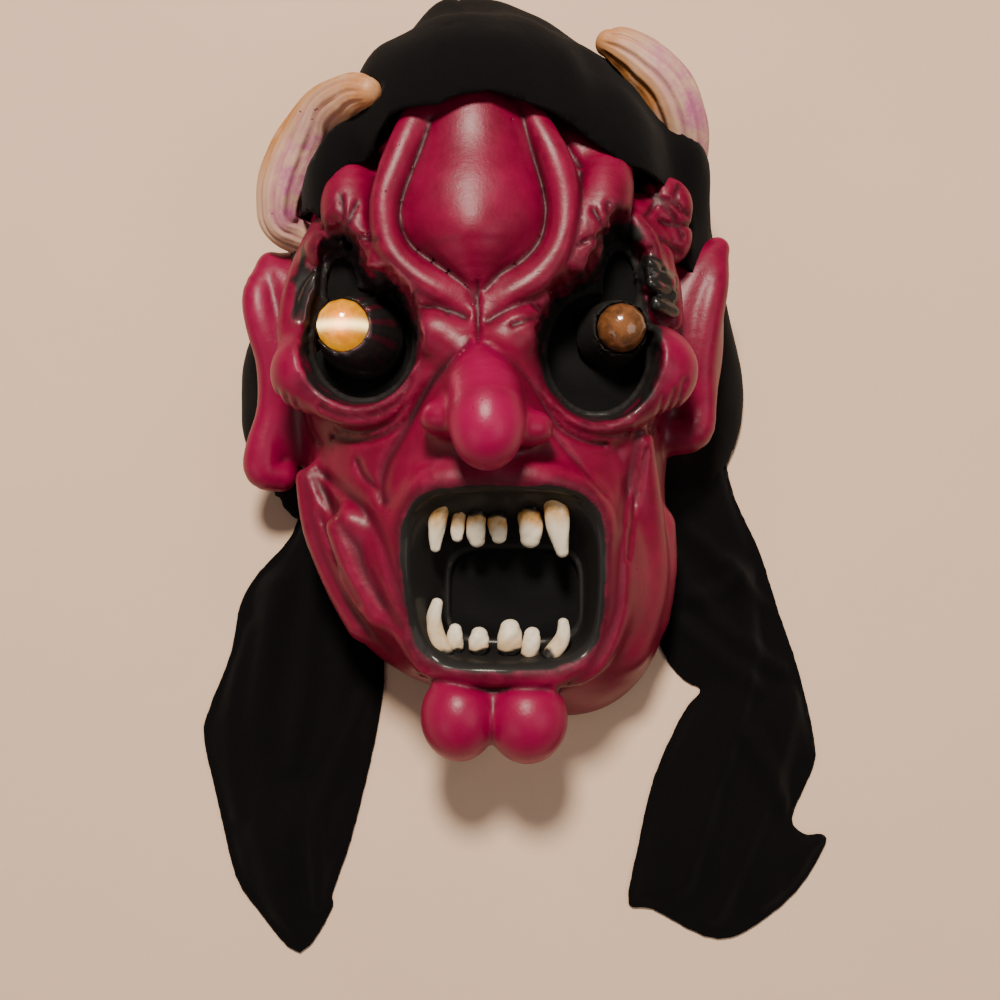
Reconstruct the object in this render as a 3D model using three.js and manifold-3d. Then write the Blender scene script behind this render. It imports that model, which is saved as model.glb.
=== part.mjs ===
// A latex devil mask with a black cloth hood, lying on its back on a table.
// Everything is worked out in the face's own frame: u to the viewer's right, v up the face and
// w out of the face, in millimetres. The whole mask is then leaned back and stood on the table.
import * as THREE from "three";
import { mergeVertices } from "three/addons/utils/BufferGeometryUtils.js";
import Module from "manifold-3d";

const wasm = await Module();
wasm.setup();

// Driving dimensions
const FACE_TILT = 15; // degrees that the face leans towards the chin side
const LATEX_WALL = 3.6; // thickness of the cast latex
const HOLLOW_REACH = 26; // how far the forms on the head are hollow
const CLOTH_WALL = 3; // thickness of the folded hood cloth as a solid
const CLOTH_GAP = 0.45; // air between the latex rim and the hood's back panel
const ROUGH_FACETS = 1200; // the plainer copy of the skin that the hood is cut clear of
const ROUGH_GAP = 1.7;
const TABLE = -78; // height of the table under the face frame's origin
const RIM_ABOVE_TABLE = CLOTH_WALL + CLOTH_GAP; // the latex rim lies on the hood's back panel
const MOUTH_CENTRE = [8.6, -60];
const MOUTH_HALF = [38.5, 34.5]; // half width and half height at the lips
const MOUTH_PANEL_CENTRE = [13, -67.5];
const MOUTH_PANEL_HALF = [28.5, 20.5]; // half sizes of the opening behind the gums
const MOUTH_PANEL_DEPTH = -6; // how far out of the face the mouth panel lies
const LIP_RISE = 26; // from the mouth panel out to the full width of the lips
const EYE_FLOOR = -13; // how far out of the face the cloth behind the eyes lies
const SCRIM_WALL = 1.6;
const SCRIM_GAP = 0.35; // air between the latex and the cloth glued behind it
const HOLE_MARGIN = 2; // latex left round the openings behind eyes and gums
const HOOD_STEPS = [8, 8, 8];
const HOOD_FACETS = 560;
const HOOD_INSIDE_FACETS = 330;
const HOOD_SPAN = [[-128, 134], [-100, 235], [-8, 190]]; // along the table and up from it
const TAIL_STEPS = [6, 6, 4];
const TAIL_FACETS = 200;
const TAIL_MARGIN = 8; // how far the grid runs past a tail's outline
const FAR = 300; // past the part in every direction
const SKIN_STEPS = [5.6, 5.6, 5.6]; // how closely the skin is sampled
const SKIN_FACETS = 2660;
const SKIN_SPAN = [[-118, 120], [-146, 190], [-150, 84]]; // in u, v and w
const INSIDE_STEPS = [7, 7, 7];
const INSIDE_FACETS = 700;
const INSIDE_SPAN = [[-112, 114], [-146, 190], [-160, 80]];
const MESH_SOFTNESS = 1.2; // rounds every joint of two forms, to suit the size of the facets
const HORN_SIDES = 12;
const TOOTH_SIDES = 6;

// Small helpers for distances
const { min, max, abs, sqrt, hypot, cos, sin, PI, exp } = Math;
const clamp = (x, a, b) => min(max(x, a), b);
const TILT = (FACE_TILT * PI) / 180;
const heightOf = (v, w) => v * sin(TILT) + w * cos(TILT);

function join(a, b, radius) {
  const k = radius * MESH_SOFTNESS;
  const h = max(k - abs(a - b), 0) / k;
  return min(a, b) - (h * h * k) / 4;
}
const carve = (a, b, k) => -join(-a, b, k);

function ball(u, v, w, [cu, cv, cw], [ru, rv, rw]) {
  const x = (u - cu) / ru;
  const y = (v - cv) / rv;
  const z = (w - cw) / rw;
  const near = sqrt(x * x + y * y + z * z);
  const slope = sqrt((x / ru) ** 2 + (y / rv) ** 2 + (z / rw) ** 2);
  return slope < 1e-9 ? -min(ru, rv, rw) : (near * (near - 1)) / slope;
}

// A smooth curve through hand-set points [u, v, w, radius], as short straight steps.
function curve(points, steps = 4) {
  const out = [];
  for (let i = 0; i < points.length - 1; i++) {
    const p = [max(i - 1, 0), i, i + 1, min(i + 2, points.length - 1)].map((j) => points[j]);
    for (let s = 0; s < steps; s++) {
      const t = s / steps;
      out.push(
        p[1].map(
          (_, c) =>
            0.5 *
            (2 * p[1][c] +
              (p[2][c] - p[0][c]) * t +
              (2 * p[0][c] - 5 * p[1][c] + 4 * p[2][c] - p[3][c]) * t * t +
              (3 * p[1][c] - p[0][c] - 3 * p[2][c] + p[3][c]) * t * t * t),
        ),
      );
    }
  }
  out.push(points[points.length - 1]);
  out.hub = [0, 1, 2].map((c) => out.reduce((sum, p) => sum + (p[c] || 0), 0) / out.length);
  out.reach = max(...out.map((p) => hypot(...out.hub.map((x, c) => x - (p[c] || 0))) + (p[3] || 0)));
  return out;
}

// A rope of varying thickness along a curve.
function roll(u, v, w, path) {
  let best = Infinity;
  for (let i = 0; i < path.length - 1; i++) {
    const [au, av, aw, ar] = path[i];
    const [bu, bv, bw, br] = path[i + 1];
    const du = bu - au;
    const dv = bv - av;
    const dw = bw - aw;
    const along = ((u - au) * du + (v - av) * dv + (w - aw) * dw) / (du * du + dv * dv + dw * dw);
    const t = clamp(along, 0, 1);
    const d = hypot(u - au - t * du, v - av - t * dv, w - aw - t * dw) - ar - t * (br - ar);
    if (d < best) best = d;
  }
  return best;
}

// A form with a roll joined on; far from the roll it is left alone.
function joinRoll(f, u, v, w, path, radius) {
  const [hu, hv, hw] = path.hub;
  const nearest = hypot(u - hu, v - hv, w - hw) - path.reach;
  return nearest > f + radius * MESH_SOFTNESS ? f : join(f, roll(u, v, w, path), radius);
}

// How deep a crease [points, width, depth] cuts at (u, v), fading out over its rounded ends.
function crease(u, v, { path, width, depth }) {
  let best = Infinity;
  for (let i = 0; i < path.length - 1; i++) {
    const [au, av] = path[i];
    const du = path[i + 1][0] - au;
    const dv = path[i + 1][1] - av;
    const t = clamp(((u - au) * du + (v - av) * dv) / (du * du + dv * dv), 0, 1);
    best = min(best, (u - au - t * du) ** 2 + (v - av - t * dv) ** 2);
  }
  return depth * exp(-best / (width * width));
}

// The forms of the face
const TEMPLE = [[37, 112, -16], [20, 32, 15]];
const SKULL = [
  [[0, 45, -72], [90, 122, 92]],
  [[2, -52, -45], [70, 62, 68]],
  [[40, -76, -46], [38, 46, 44]],
];
const BROW_DROP = [
  [[-4, 84, 7], [29.5, 24.5, 21.5]],
  [[-3.5, 108, -2], [26.5, 44, 23]],
];
const BROW_DROP_TIP = curve([[-4, 74, 17, 11], [-3, 60, 17, 6], [-2, 51, 16, 2.5]]);
const TUBES = [
  curve([
    [-22, 136, 3, 6], [-28, 121, 9, 6.5], [-34, 105, 12, 7], [-39, 89, 14, 7], [-37, 72, 15, 7],
    [-29, 61, 16, 7], [-17, 53, 17, 6.5], [-5, 45.5, 16, 5],
  ]),
  curve([
    [15, 140, 1, 6], [21, 123, 8, 6.5], [28.5, 107, 11.5, 7.2], [33, 90, 13, 7.3], [31.5, 73, 15, 7.2],
    [23, 60, 16, 7], [12, 52, 17, 6.5], [1, 45.5, 16, 5],
  ]),
];
const BROWS = [
  curve([[-56, 110, -15, 9], [-55, 99, -6, 11.5], [-54, 86, -1, 12], [-51, 74, 3, 10], [-44, 64, 7, 8]]),
  curve([[-66, 76, -10, 7], [-55, 69, 0, 7], [-46, 60, 7, 6.5], [-37, 54, 10, 6], [-28, 49, 12, 5]]),
  curve([[50, 115, -14, 8.5], [50, 105, -4, 11.5], [48.5, 93, 2, 12.5], [45, 80, 6, 12], [39.5, 67, 9, 9.5],
    [29, 54, 12, 6.5]]),
  curve([[36, 133, -12, 7], [40, 118, -7, 7], [50, 106, -12, 6]]),
  curve([[-64, 86, -18, 8], [-72, 72, -19, 8], [-77, 58, -18, 8], [-78, 42, -16, 9]]),
  curve([[66, 88, -18, 9], [72, 76, -18, 8], [74, 64, -18, 7]]),
  curve([[70, 66, -12, 5], [78, 58, -18, 5], [80, 48, -22, 5]]),
];
const INNER_EYES = [
  [[-17.5, 37, 15.2], [12.5, 10.5, 11]],
  [[13.5, 38, 15.2], [13.5, 11, 11]],
];
const NOSE_BRIDGE = curve([[-1.5, 37, 13, 6], [-1.5, 27, 21, 9], [0.5, 15, 32.5, 12.2], [1.8, 5, 40.5, 14]]);
const NOSE_BALLS = [
  [[2.2, -2, 43.5], [13.6, 15.6, 15]],
  [[-15.5, 3, 31], [8.5, 7, 9.5]],
  [[19, -1, 31], [9, 7, 9.5]],
];
const NOSE_ROOT = [[1, 8, 15], [21, 27, 20]];
const CHEEK_BALLS = [
  [[-71, 24, -8], [17, 17, 16]],
  [[69, 25, -8], [20, 19, 17]],
];
const LOWER_LIDS = [
  curve([[-27, 22, 10, 5], [-36, 11, 8, 6], [-50, 6, 5, 6.5], [-62, 11, 1, 7]]),
  curve([[25, 26, 10, 5], [30, 11, 9, 6], [42, 3, 6, 6.5], [54, 4, 3, 7], [64, 12, 0, 8]]),
];
const MUZZLE = [[8, -56, -14], [52, 47, 38]];
const UPPER_LIP = curve([[-27, -36, 14, 6], [-20, -23, 20, 7], [-4, -22, 23, 7.5], [8, -21, 23, 7.5],
  [24, -21, 22, 7], [40, -27, 15, 6.5], [48, -42, 8, 6]]);
const LOWER_LIP = curve([[-31, -60, 8, 5], [-29, -80, 8, 6], [-18, -96, 9, 6.5], [4, -97, 11, 7],
  [28, -99, 9, 7], [44, -92, 5, 7], [51, -74, 3, 6], [51, -52, 4, 5]]);
const CHIN_BALLS = [
  [[-9.5, -116, 5], [15.6, 18, 18]],
  [[18, -117, 5], [16.4, 18, 18]],
  [[5, -106, -6], [25, 20, 18]],
];
const JAW_ROLLS = [
  curve([[-73, -20, -22, 7], [-68, -40, -22, 9], [-60, -60, -22, 9], [-50, -80, -18, 8]]),
  curve([[-55, -40, 0, 9], [-50, -58, 0, 9], [-42, -74, 2, 7]]),
  curve([[62, -5, -10, 9], [64, -24, -14, 10], [66, -46, -18, 11], [66, -66, -20, 11], [60, -90, -18, 10]]),
  curve([[76, -40, -34, 7], [75, -58, -32, 8], [71, -78, -30, 8]]),
];
const CREASES = [
  { path: [[-6, 31], [-19, 18], [-29.5, 3], [-35.5, -11], [-38.3, -28]], width: 3, depth: 3 },
  { path: [[2, 30], [15, 21], [24, 9], [31, 0], [41, -5]], width: 3, depth: 2.2 },
  { path: [[-74, -17], [-70, -33], [-65, -49], [-61.5, -66], [-56, -76]], width: 3.2, depth: 3 },
  { path: [[-66, -16], [-54, -30], [-48, -48], [-40, -72], [-32, -80]], width: 3.2, depth: 3 },
  { path: [[-28, 10], [-36, 2], [-47, -2], [-60, 0]], width: 3, depth: 2 },
  { path: [[28, 7], [36, -1], [47, -4], [59, -2]], width: 3, depth: 2 },
  { path: [[60, -12], [56, -31], [55, -53], [54, -72], [50, -88], [42, -100]], width: 3.4, depth: 3.4 },
  { path: [[-2, 54], [-1.6, 43], [-1.3, 32]], width: 2.6, depth: 3 },
];
const EARS = [
  {
    rim: curve([[-95, 76, -44, 4], [-99, 62, -38, 6.5], [-97, 48, -36, 7], [-92, 30, -38, 7],
      [-93, 12, -40, 6.5], [-97, -6, -41, 8], [-97, -15, -42, 8.5], [-90, -18, -44, 7]]),
    web: [[-88, 30, -46], [12, 44, 12]],
  },
  {
    rim: curve([[104, 82, -44, 4], [101, 66, -38, 6], [97, 50, -36, 6.5], [94, 30, -37, 7],
      [95, 14, -40, 7], [92, 2, -41, 8.5], [82, -1, -42, 8]]),
    web: [[90, 40, -46], [14, 42, 12]],
  },
  {
    rim: curve([[103, 83, -43, 4], [97, 75, -40, 4.5], [91, 66, -38, 5], [87, 54, -37, 5], [85, 40, -36, 5]]),
    web: [[91, 50, -46], [13, 36, 11]],
  },
  {
    rim: curve([[-95, 75, -43, 4], [-90, 70, -40, 4.5], [-85, 60, -38, 5], [-81, 48, -36, 5]]),
    web: [[-87, 50, -46], [11, 30, 11]],
  },
];
const EYES = [
  { socket: [-50.5, 37, 22.5, 25], slit: [-59.5, 60, 8.5, 18], dome: [-57, 42.5, 2], radius: 10.5 },
  { socket: [47.5, 33, 22.5, 27], slit: [57, 60, 9, 20], dome: [56.5, 41.5, 1], radius: 10 },
];
const SOCKET_LIPS = [
  curve([[-30, 40, 10, 4], [-33, 56, 9, 4], [-46, 66, 4, 4]]),
  curve([[28, 42, 11, 4], [36, 58, 9, 4.5], [47, 72, 6, 5]]),
];

const ellipse = (u, v, [cu, cv, ru, rv]) => (hypot((u - cu) / ru, (v - cv) / rv) - 1) * min(ru, rv);

// The mouth's funnel: lips outside, gums narrowing to the panel's opening.
function mouthFunnel(u, v, w) {
  const t = clamp((w - MOUTH_PANEL_DEPTH) / LIP_RISE, 0, 1);
  const at = [0, 1].map((i) => MOUTH_PANEL_CENTRE[i] + t * (MOUTH_CENTRE[i] - MOUTH_PANEL_CENTRE[i]));
  const half = [0, 1].map((i) => MOUTH_PANEL_HALF[i] + t * (MOUTH_HALF[i] - MOUTH_PANEL_HALF[i]));
  const x = abs(u - at[0]) / half[0];
  const y = abs(v - at[1]) / half[1];
  const side = ((x ** 4 + y ** 4) ** 0.25 - 1) * min(...half) * 0.85;
  return max(side, MOUTH_PANEL_DEPTH - w);
}

function eyePocket(u, v, w, { socket, slit }) {
  const side = join(ellipse(u, v, socket), ellipse(u, v, slit), 6);
  return max(side - 0.12 * (w - EYE_FLOOR), EYE_FLOOR - w);
}

function headCore(u, v, w) {
  let f = ball(u, v, w, ...SKULL[0]);
  f = join(f, ball(u, v, w, ...SKULL[1]), 40);
  return join(f, ball(u, v, w, ...SKULL[2]), 25);
}

// Signed distance to the mask's outer skin, horns and teeth left out.
function face(u, v, w, withEars = true) {
  let f = headCore(u, v, w);
  f = join(f, ball(u, v, w, ...MUZZLE), 18);
  f = join(f, ball(u, v, w, ...TEMPLE), 12);
  for (const b of CHEEK_BALLS) f = join(f, ball(u, v, w, ...b), 7);
  for (const path of JAW_ROLLS) f = joinRoll(f, u, v, w, path, 6);
  for (const path of BROWS) f = joinRoll(f, u, v, w, path, 5);
  let drop = join(ball(u, v, w, ...BROW_DROP[0]), ball(u, v, w, ...BROW_DROP[1]), 12);
  drop = joinRoll(drop, u, v, w, BROW_DROP_TIP, 10);
  f = join(f, drop, 6);
  for (const path of TUBES) f = joinRoll(f, u, v, w, path, 3.5);
  for (const b of INNER_EYES) f = join(f, ball(u, v, w, ...b), 4);
  for (const path of LOWER_LIDS) f = joinRoll(f, u, v, w, path, 7);
  for (const path of SOCKET_LIPS) f = joinRoll(f, u, v, w, path, 4);
  let nose = join(ball(u, v, w, ...NOSE_ROOT), roll(u, v, w, NOSE_BRIDGE), 10);
  for (const b of NOSE_BALLS) nose = join(nose, ball(u, v, w, ...b), 5);
  f = join(f, nose, 9);
  for (const path of [UPPER_LIP, LOWER_LIP]) f = joinRoll(f, u, v, w, path, 7);
  for (const b of CHIN_BALLS) f = join(f, ball(u, v, w, ...b), 4);
  if (withEars)
    for (const { rim, web } of EARS) {
      f = join(f, ball(u, v, w, ...web), 8);
      f = joinRoll(f, u, v, w, rim, 4);
    }
  if (w > -30) for (const line of CREASES) f += crease(u, v, line);
  for (const eye of EYES) f = carve(f, eyePocket(u, v, w, eye), 4);
  return carve(f, mouthFunnel(u, v, w), 4);
}

// The inside follows the skin a wall's thickness below it; the ears are cast solid.
function faceInside(u, v, w) {
  const f = max(face(u, v, w, false), headCore(u, v, w) - HOLLOW_REACH) + LATEX_WALL;
  return max(f, -8 - heightOf(v, w) + TABLE);
}

// Surface nets on a grid, each point then moved onto the skin.
function skin(field, axes) {
  const [us, vs, ws] = axes;
  const n = axes.map((a) => a.length);
  const value = new Float64Array(n[0] * n[1] * n[2]);
  const at = (i, j, k) => (k * n[1] + j) * n[0] + i;
  for (let k = 0; k < n[2]; k++)
    for (let j = 0; j < n[1]; j++)
      for (let i = 0; i < n[0]; i++) value[at(i, j, k)] = field(us[i], vs[j], ws[k]) || 1e-9;
  unpinched(value, n, at);
  const points = [];
  const pointOf = new Map();
  const corner = (c) => [c & 1, (c >> 1) & 1, c >> 2];
  for (let k = 0; k < n[2] - 1; k++)
    for (let j = 0; j < n[1] - 1; j++)
      for (let i = 0; i < n[0] - 1; i++) {
        const sum = [0, 0, 0];
        let hits = 0;
        for (let a = 0; a < 8; a++)
          for (const step of [1, 2, 4]) {
            if (a & step) continue;
            const [p, q] = [corner(a), corner(a | step)];
            const fa = value[at(i + p[0], j + p[1], k + p[2])];
            const fb = value[at(i + q[0], j + q[1], k + q[2])];
            if (fa < 0 === fb < 0) continue;
            const t = fa / (fa - fb);
            const cell = [i, j, k];
            for (let c = 0; c < 3; c++) {
              const from = axes[c][cell[c] + p[c]];
              const to = axes[c][cell[c] + q[c]];
              sum[c] += from + t * (to - from);
            }
            hits++;
          }
        if (!hits) continue;
        pointOf.set(at(i, j, k), points.length);
        points.push(sum.map((s) => s / hits));
      }
  const triangles = [];
  const quad = (cells, flip) => {
    const [a, b, c, d] = cells.map((cell) => pointOf.get(at(...cell)));
    const apart = (p, q) => hypot(...[0, 1, 2].map((x) => points[p][x] - points[q][x]));
    const halves = apart(a, c) < apart(b, d) ? [[a, b, c], [a, c, d]] : [[a, b, d], [b, c, d]];
    for (const [p, q, r] of halves) triangles.push(...(flip ? [p, r, q] : [p, q, r]));
  };
  for (let k = 0; k < n[2] - 1; k++)
    for (let j = 0; j < n[1] - 1; j++)
      for (let i = 0; i < n[0] - 1; i++) {
        const here = value[at(i, j, k)] < 0;
        if (j && k && here !== value[at(i + 1, j, k)] < 0)
          quad([[i, j - 1, k - 1], [i, j, k - 1], [i, j, k], [i, j - 1, k]], !here);
        if (i && k && here !== value[at(i, j + 1, k)] < 0)
          quad([[i - 1, j, k - 1], [i - 1, j, k], [i, j, k], [i, j, k - 1]], !here);
        if (i && j && here !== value[at(i, j, k + 1)] < 0)
          quad([[i - 1, j - 1, k], [i, j - 1, k], [i, j, k], [i - 1, j, k]], !here);
      }
  return { points: settled(field, relaxed(points, triangles)), triangles };
}

// Where the skin would touch itself along a grid square's diagonal, the square is filled in.
function unpinched(value, n, at) {
  const squares = [[[1, 0, 0], [0, 1, 0]], [[0, 1, 0], [0, 0, 1]], [[1, 0, 0], [0, 0, 1]]];
  for (let changed = true; changed; ) {
    changed = false;
    for (let k = 0; k < n[2]; k++)
      for (let j = 0; j < n[1]; j++)
        for (let i = 0; i < n[0]; i++)
          for (const [p, q] of squares) {
            const far = [i + p[0] + q[0], j + p[1] + q[1], k + p[2] + q[2]];
            if (far[0] >= n[0] || far[1] >= n[1] || far[2] >= n[2]) continue;
            const ring = [
              at(i, j, k), at(i + p[0], j + p[1], k + p[2]), at(...far), at(i + q[0], j + q[1], k + q[2]),
            ];
            const inside = ring.map((c) => value[c] < 0);
            if (inside[0] !== inside[2] || inside[1] !== inside[3] || inside[0] === inside[1]) continue;
            value[ring[inside[0] ? 1 : 0]] = -0.01;
            changed = true;
          }
  }
}

// The skin with fewer facets: neighbouring points are joined where that moves the surface least,
// so flat stretches end up with large facets and creases keep small ones.
function thinned({ points, triangles }, most) {
  const spots = points.map((p) => [...p]);
  const faces = [];
  for (let t = 0; t < triangles.length; t += 3) faces.push(triangles.slice(t, t + 3));
  const around = spots.map(() => new Set());
  faces.forEach((face, f) => face.forEach((p) => around[p].add(f)));
  const normalOf = (a, b, c) => {
    const [x1, y1, z1] = [b[0] - a[0], b[1] - a[1], b[2] - a[2]];
    const [x2, y2, z2] = [c[0] - a[0], c[1] - a[1], c[2] - a[2]];
    const n = [y1 * z2 - z1 * y2, z1 * x2 - x1 * z2, x1 * y2 - y1 * x2];
    const size = hypot(...n) || 1e-12;
    return [n[0] / size, n[1] / size, n[2] / size, size];
  };
  // Ten sums per point give the squared distance to the planes of the facets around it.
  const planes = spots.map(() => new Float64Array(10));
  for (const face of faces) {
    const [a, b, c] = face.map((p) => spots[p]);
    const [x, y, z, size] = normalOf(a, b, c);
    const d = -(x * a[0] + y * a[1] + z * a[2]);
    const terms = [x * x, x * y, x * z, x * d, y * y, y * z, y * d, z * z, z * d, d * d];
    for (const p of face) terms.forEach((term, i) => (planes[p][i] += term * size));
  }
  const error = (q, [x, y, z]) =>
    q[0] * x * x + 2 * q[1] * x * y + 2 * q[2] * x * z + 2 * q[3] * x + q[4] * y * y +
    2 * q[5] * y * z + 2 * q[6] * y + q[7] * z * z + 2 * q[8] * z + q[9];
  const neighbours = (p) => {
    const out = new Set();
    for (const f of around[p]) for (const q of faces[f]) if (q !== p) out.add(q);
    return out;
  };
  const folds = (p, other, to) => {
    for (const f of around[p]) {
      if (faces[f].includes(other)) continue;
      const was = normalOf(...faces[f].map((q) => spots[q]));
      const will = normalOf(...faces[f].map((q) => (q === p ? to : spots[q])));
      if (was[0] * will[0] + was[1] * will[1] + was[2] * will[2] < 0.6) return true;
    }
    return false;
  };
  let left = faces.length;
  for (let limit = 0.5; left > most && limit < 1e6; limit *= 1.3)
    for (let f = 0; f < faces.length && left > most; f++) {
      const face = faces[f];
      if (!face) continue;
      for (let e = 0; e < 3; e++) {
        const [a, b] = [face[e], face[(e + 1) % 3]];
        const sum = planes[a].map((x, i) => x + planes[b][i]);
        const middle = spots[a].map((x, c) => (x + spots[b][c]) / 2);
        const to = [spots[a], spots[b], middle].sort((p, q) => error(sum, p) - error(sum, q))[0];
        const stretch = hypot(...spots[a].map((x, c) => x - spots[b][c]));
        if (error(sum, to) + 0.02 * stretch ** 3 > limit) continue;
        const near = neighbours(a);
        const shared = [...neighbours(b)].filter((q) => near.has(q));
        if (shared.length !== 2 || folds(a, b, to) || folds(b, a, to)) continue;
        spots[a] = [...to];
        planes[a] = sum;
        for (const g of [...around[b]]) {
          if (faces[g].includes(a)) {
            for (const q of faces[g]) around[q].delete(g);
            faces[g] = null;
            left--;
          } else {
            faces[g] = faces[g].map((q) => (q === b ? a : q));
            around[a].add(g);
          }
        }
        around[b].clear();
        break;
      }
    }
  const used = new Map();
  const kept = [];
  const out = faces.filter(Boolean).flatMap((face) =>
    face.map((p) => {
      if (!used.has(p)) used.set(p, kept.push(spots[p]) - 1);
      return used.get(p);
    }),
  );
  return { points: kept, triangles: out };
}

// Each point drawn part of the way to the middle of its neighbours.
function relaxed(points, triangles) {
  const sums = points.map(() => [0, 0, 0, 0]);
  for (let t = 0; t < triangles.length; t += 3)
    for (let a = 0; a < 3; a++) {
      const sum = sums[triangles[t + a]];
      for (const b of [triangles[t + ((a + 1) % 3)], triangles[t + ((a + 2) % 3)]]) {
        for (let c = 0; c < 3; c++) sum[c] += points[b][c];
        sum[3]++;
      }
    }
  return points.map((p, i) => p.map((x, c) => x + 0.5 * (sums[i][c] / sums[i][3] - x)));
}

// Each point moved onto the skin along the field's slope, by a small step only.
function settled(field, points) {
  const e = 0.4;
  return points.map((start) => {
    let p = start;
    for (let turn = 0; turn < 2; turn++) {
      const slope = [0, 1, 2].map((c) => {
        const q = [...p];
        const r = [...p];
        q[c] += e;
        r[c] -= e;
        return (field(...q) - field(...r)) / (2 * e);
      });
      const size = max(slope[0] ** 2 + slope[1] ** 2 + slope[2] ** 2, 0.25);
      const reach = clamp(field(...p) / size, -1.6, 1.6);
      p = p.map((x, c) => x - reach * slope[c]);
    }
    return p;
  });
}

// From the face frame to the table's frame, as a closed solid for joining and cutting.
const toTable = ([u, v, w]) => [
  u,
  v * cos(TILT) - w * sin(TILT),
  heightOf(v, w) - TABLE,
];

const LEAN = new THREE.Matrix4().makeRotationX(TILT).setPosition(0, 0, -TABLE);

function solid({ points, triangles }, placed = true) {
  return new wasm.Manifold(
    new wasm.Mesh({
      numProp: 3,
      vertProperties: new Float32Array(points.flatMap((p) => (placed ? toTable(p) : p))),
      triVerts: new Uint32Array(triangles),
    }),
  );
}

function solidOf(geometry) {
  geometry.deleteAttribute("normal");
  geometry.deleteAttribute("uv");
  const merged = mergeVertices(geometry, 1e-4);
  return new wasm.Manifold(
    new wasm.Mesh({
      numProp: 3,
      vertProperties: new Float32Array(merged.attributes.position.array),
      triVerts: new Uint32Array(merged.index.array),
    }),
  );
}

// Evenly spaced grid lines along each of the three axes.
function gridOver(spans, steps) {
  return spans.map(([from, to], c) => {
    const count = Math.ceil((to - from) / steps[c]) + 1;
    return Array.from({ length: count }, (_, i) => from + i * steps[c]);
  });
}

// A box in the table's frame, given by its corners.
function block(lo, hi) {
  const box = new THREE.BoxGeometry(...[0, 1, 2].map((c) => hi[c] - lo[c]));
  box.translate(...[0, 1, 2].map((c) => (hi[c] + lo[c]) / 2));
  return solidOf(box);
}

// A closed solid through rings of points, with its two ends as single points.
function loft(rings, first, last) {
  const sides = rings[0].length;
  const points = [first, ...rings.flat(), last];
  const end = points.length - 1;
  const triangles = [];
  for (let s = 0; s < sides; s++) {
    const next = (s + 1) % sides;
    triangles.push(0, 1 + s, 1 + next);
    for (let r = 0; r < rings.length - 1; r++) {
      const a = 1 + r * sides;
      const b = a + sides;
      triangles.push(a + s, b + next, a + next, a + s, b + s, b + next);
    }
    const a = 1 + (rings.length - 1) * sides;
    triangles.push(end, a + next, a + s);
  }
  return { points, triangles };
}

// Rings square to a path, with the path's radius shaped by how far round each point is.
function sweep(path, sides, shape, lift = [0, 0, 1]) {
  const up = new THREE.Vector3(...lift);
  const rings = path.map((p, i) => {
    const before = new THREE.Vector3(...path[max(i - 1, 0)].slice(0, 3));
    const after = new THREE.Vector3(...path[min(i + 1, path.length - 1)].slice(0, 3));
    const along = after.sub(before).normalize();
    const across = new THREE.Vector3().crossVectors(along, up).normalize();
    const above = new THREE.Vector3().crossVectors(across, along).normalize();
    return Array.from({ length: sides }, (_, s) => {
      const turn = (2 * PI * s) / sides;
      const r = p[3] * shape(turn, i / (path.length - 1));
      return new THREE.Vector3(...p.slice(0, 3))
        .addScaledVector(across, r * cos(turn))
        .addScaledVector(above, r * sin(turn))
        .toArray();
    });
  });
  return rings;
}

const END_REACH = 0.35; // how far a pointed end runs past the last ring, against the last step

function tapered(path, sides, shape, lift) {
  const rings = sweep(path, sides, shape, lift);
  const reach = (a, b) => a.slice(0, 3).map((x, c) => x + (x - b[c]) * END_REACH);
  const last = path.length - 1;
  return loft(rings, reach(path[0], path[1]), reach(path[last], path[last - 1]));
}

// The horns: thick, ridged lengthwise and bent over towards the middle of the head.
const HORNS = [
  curve([[-74, 84, -42, 7], [-87, 90, -34, 8], [-88, 100, -30, 9.5], [-84, 112, -28, 11],
    [-76.8, 123.5, -25, 11.3], [-66.3, 134, -16, 10.5], [-54, 136.8, -2, 8.7], [-46, 135.5, 7, 5.8]], 2),
  curve([[76, 96, -66, 8], [83, 108, -60, 10], [87.5, 122, -50, 11], [86, 136, -40, 11.5],
    [79, 150, -33, 11.3], [68, 160.5, -30, 10], [59, 166, -28, 8], [53, 168, -28, 5.5]], 2),
];
const hornSection = (turn) => 1 + 0.09 * cos(6 * turn);

// Teeth: [root u, root v, tip u, tip v, half width], hanging from the upper gum or standing on the lower.
// A bowed tooth swings to the right between root and tip.
const TEETH = [
  { at: [-16, -30, -18.5, -49, 3.8], depth: 12, bow: -0.8 },
  { at: [-9, -35, -9.6, -45, 2.8], depth: 9, bow: 0 },
  { at: [-2.6, -36.5, -2.6, -47, 3.6], depth: 9, bow: 0 },
  { at: [6.2, -37, 6.2, -45.5, 3.6], depth: 9, bow: 0 },
  { at: [19, -35, 19, -47, 4.6], depth: 10, bow: 0 },
  { at: [29, -30, 32, -51, 4.9], depth: 12, bow: -0.8 },
  { at: [-15, -87.5, -18, -68.5, 3.6], depth: 7, bow: -3 },
  { at: [-11, -87, -11, -79, 3], depth: 5, bow: 0 },
  { at: [-1.4, -87, -1.4, -80.5, 3.6], depth: 5, bow: 0 },
  { at: [11, -87, 11, -77.5, 4.5], depth: 5, bow: 0 },
  { at: [18, -90, 19.8, -80.5, 3.5], depth: 5, bow: 0.5 },
  { at: [26.5, -88.5, 32.5, -76.5, 3.6], depth: 7, bow: 1.8 },
];

const GUM_DEPTH = 4; // roots start inside the gum
const TOOTH_STEPS = [0, 0.3, 0.6, 0.85, 1]; // shares of a tooth's length from root to tip
const TOOTH_WIDTHS = [0.9, 1, 0.95, 0.78, 0.5]; // and how wide it is at each

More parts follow.
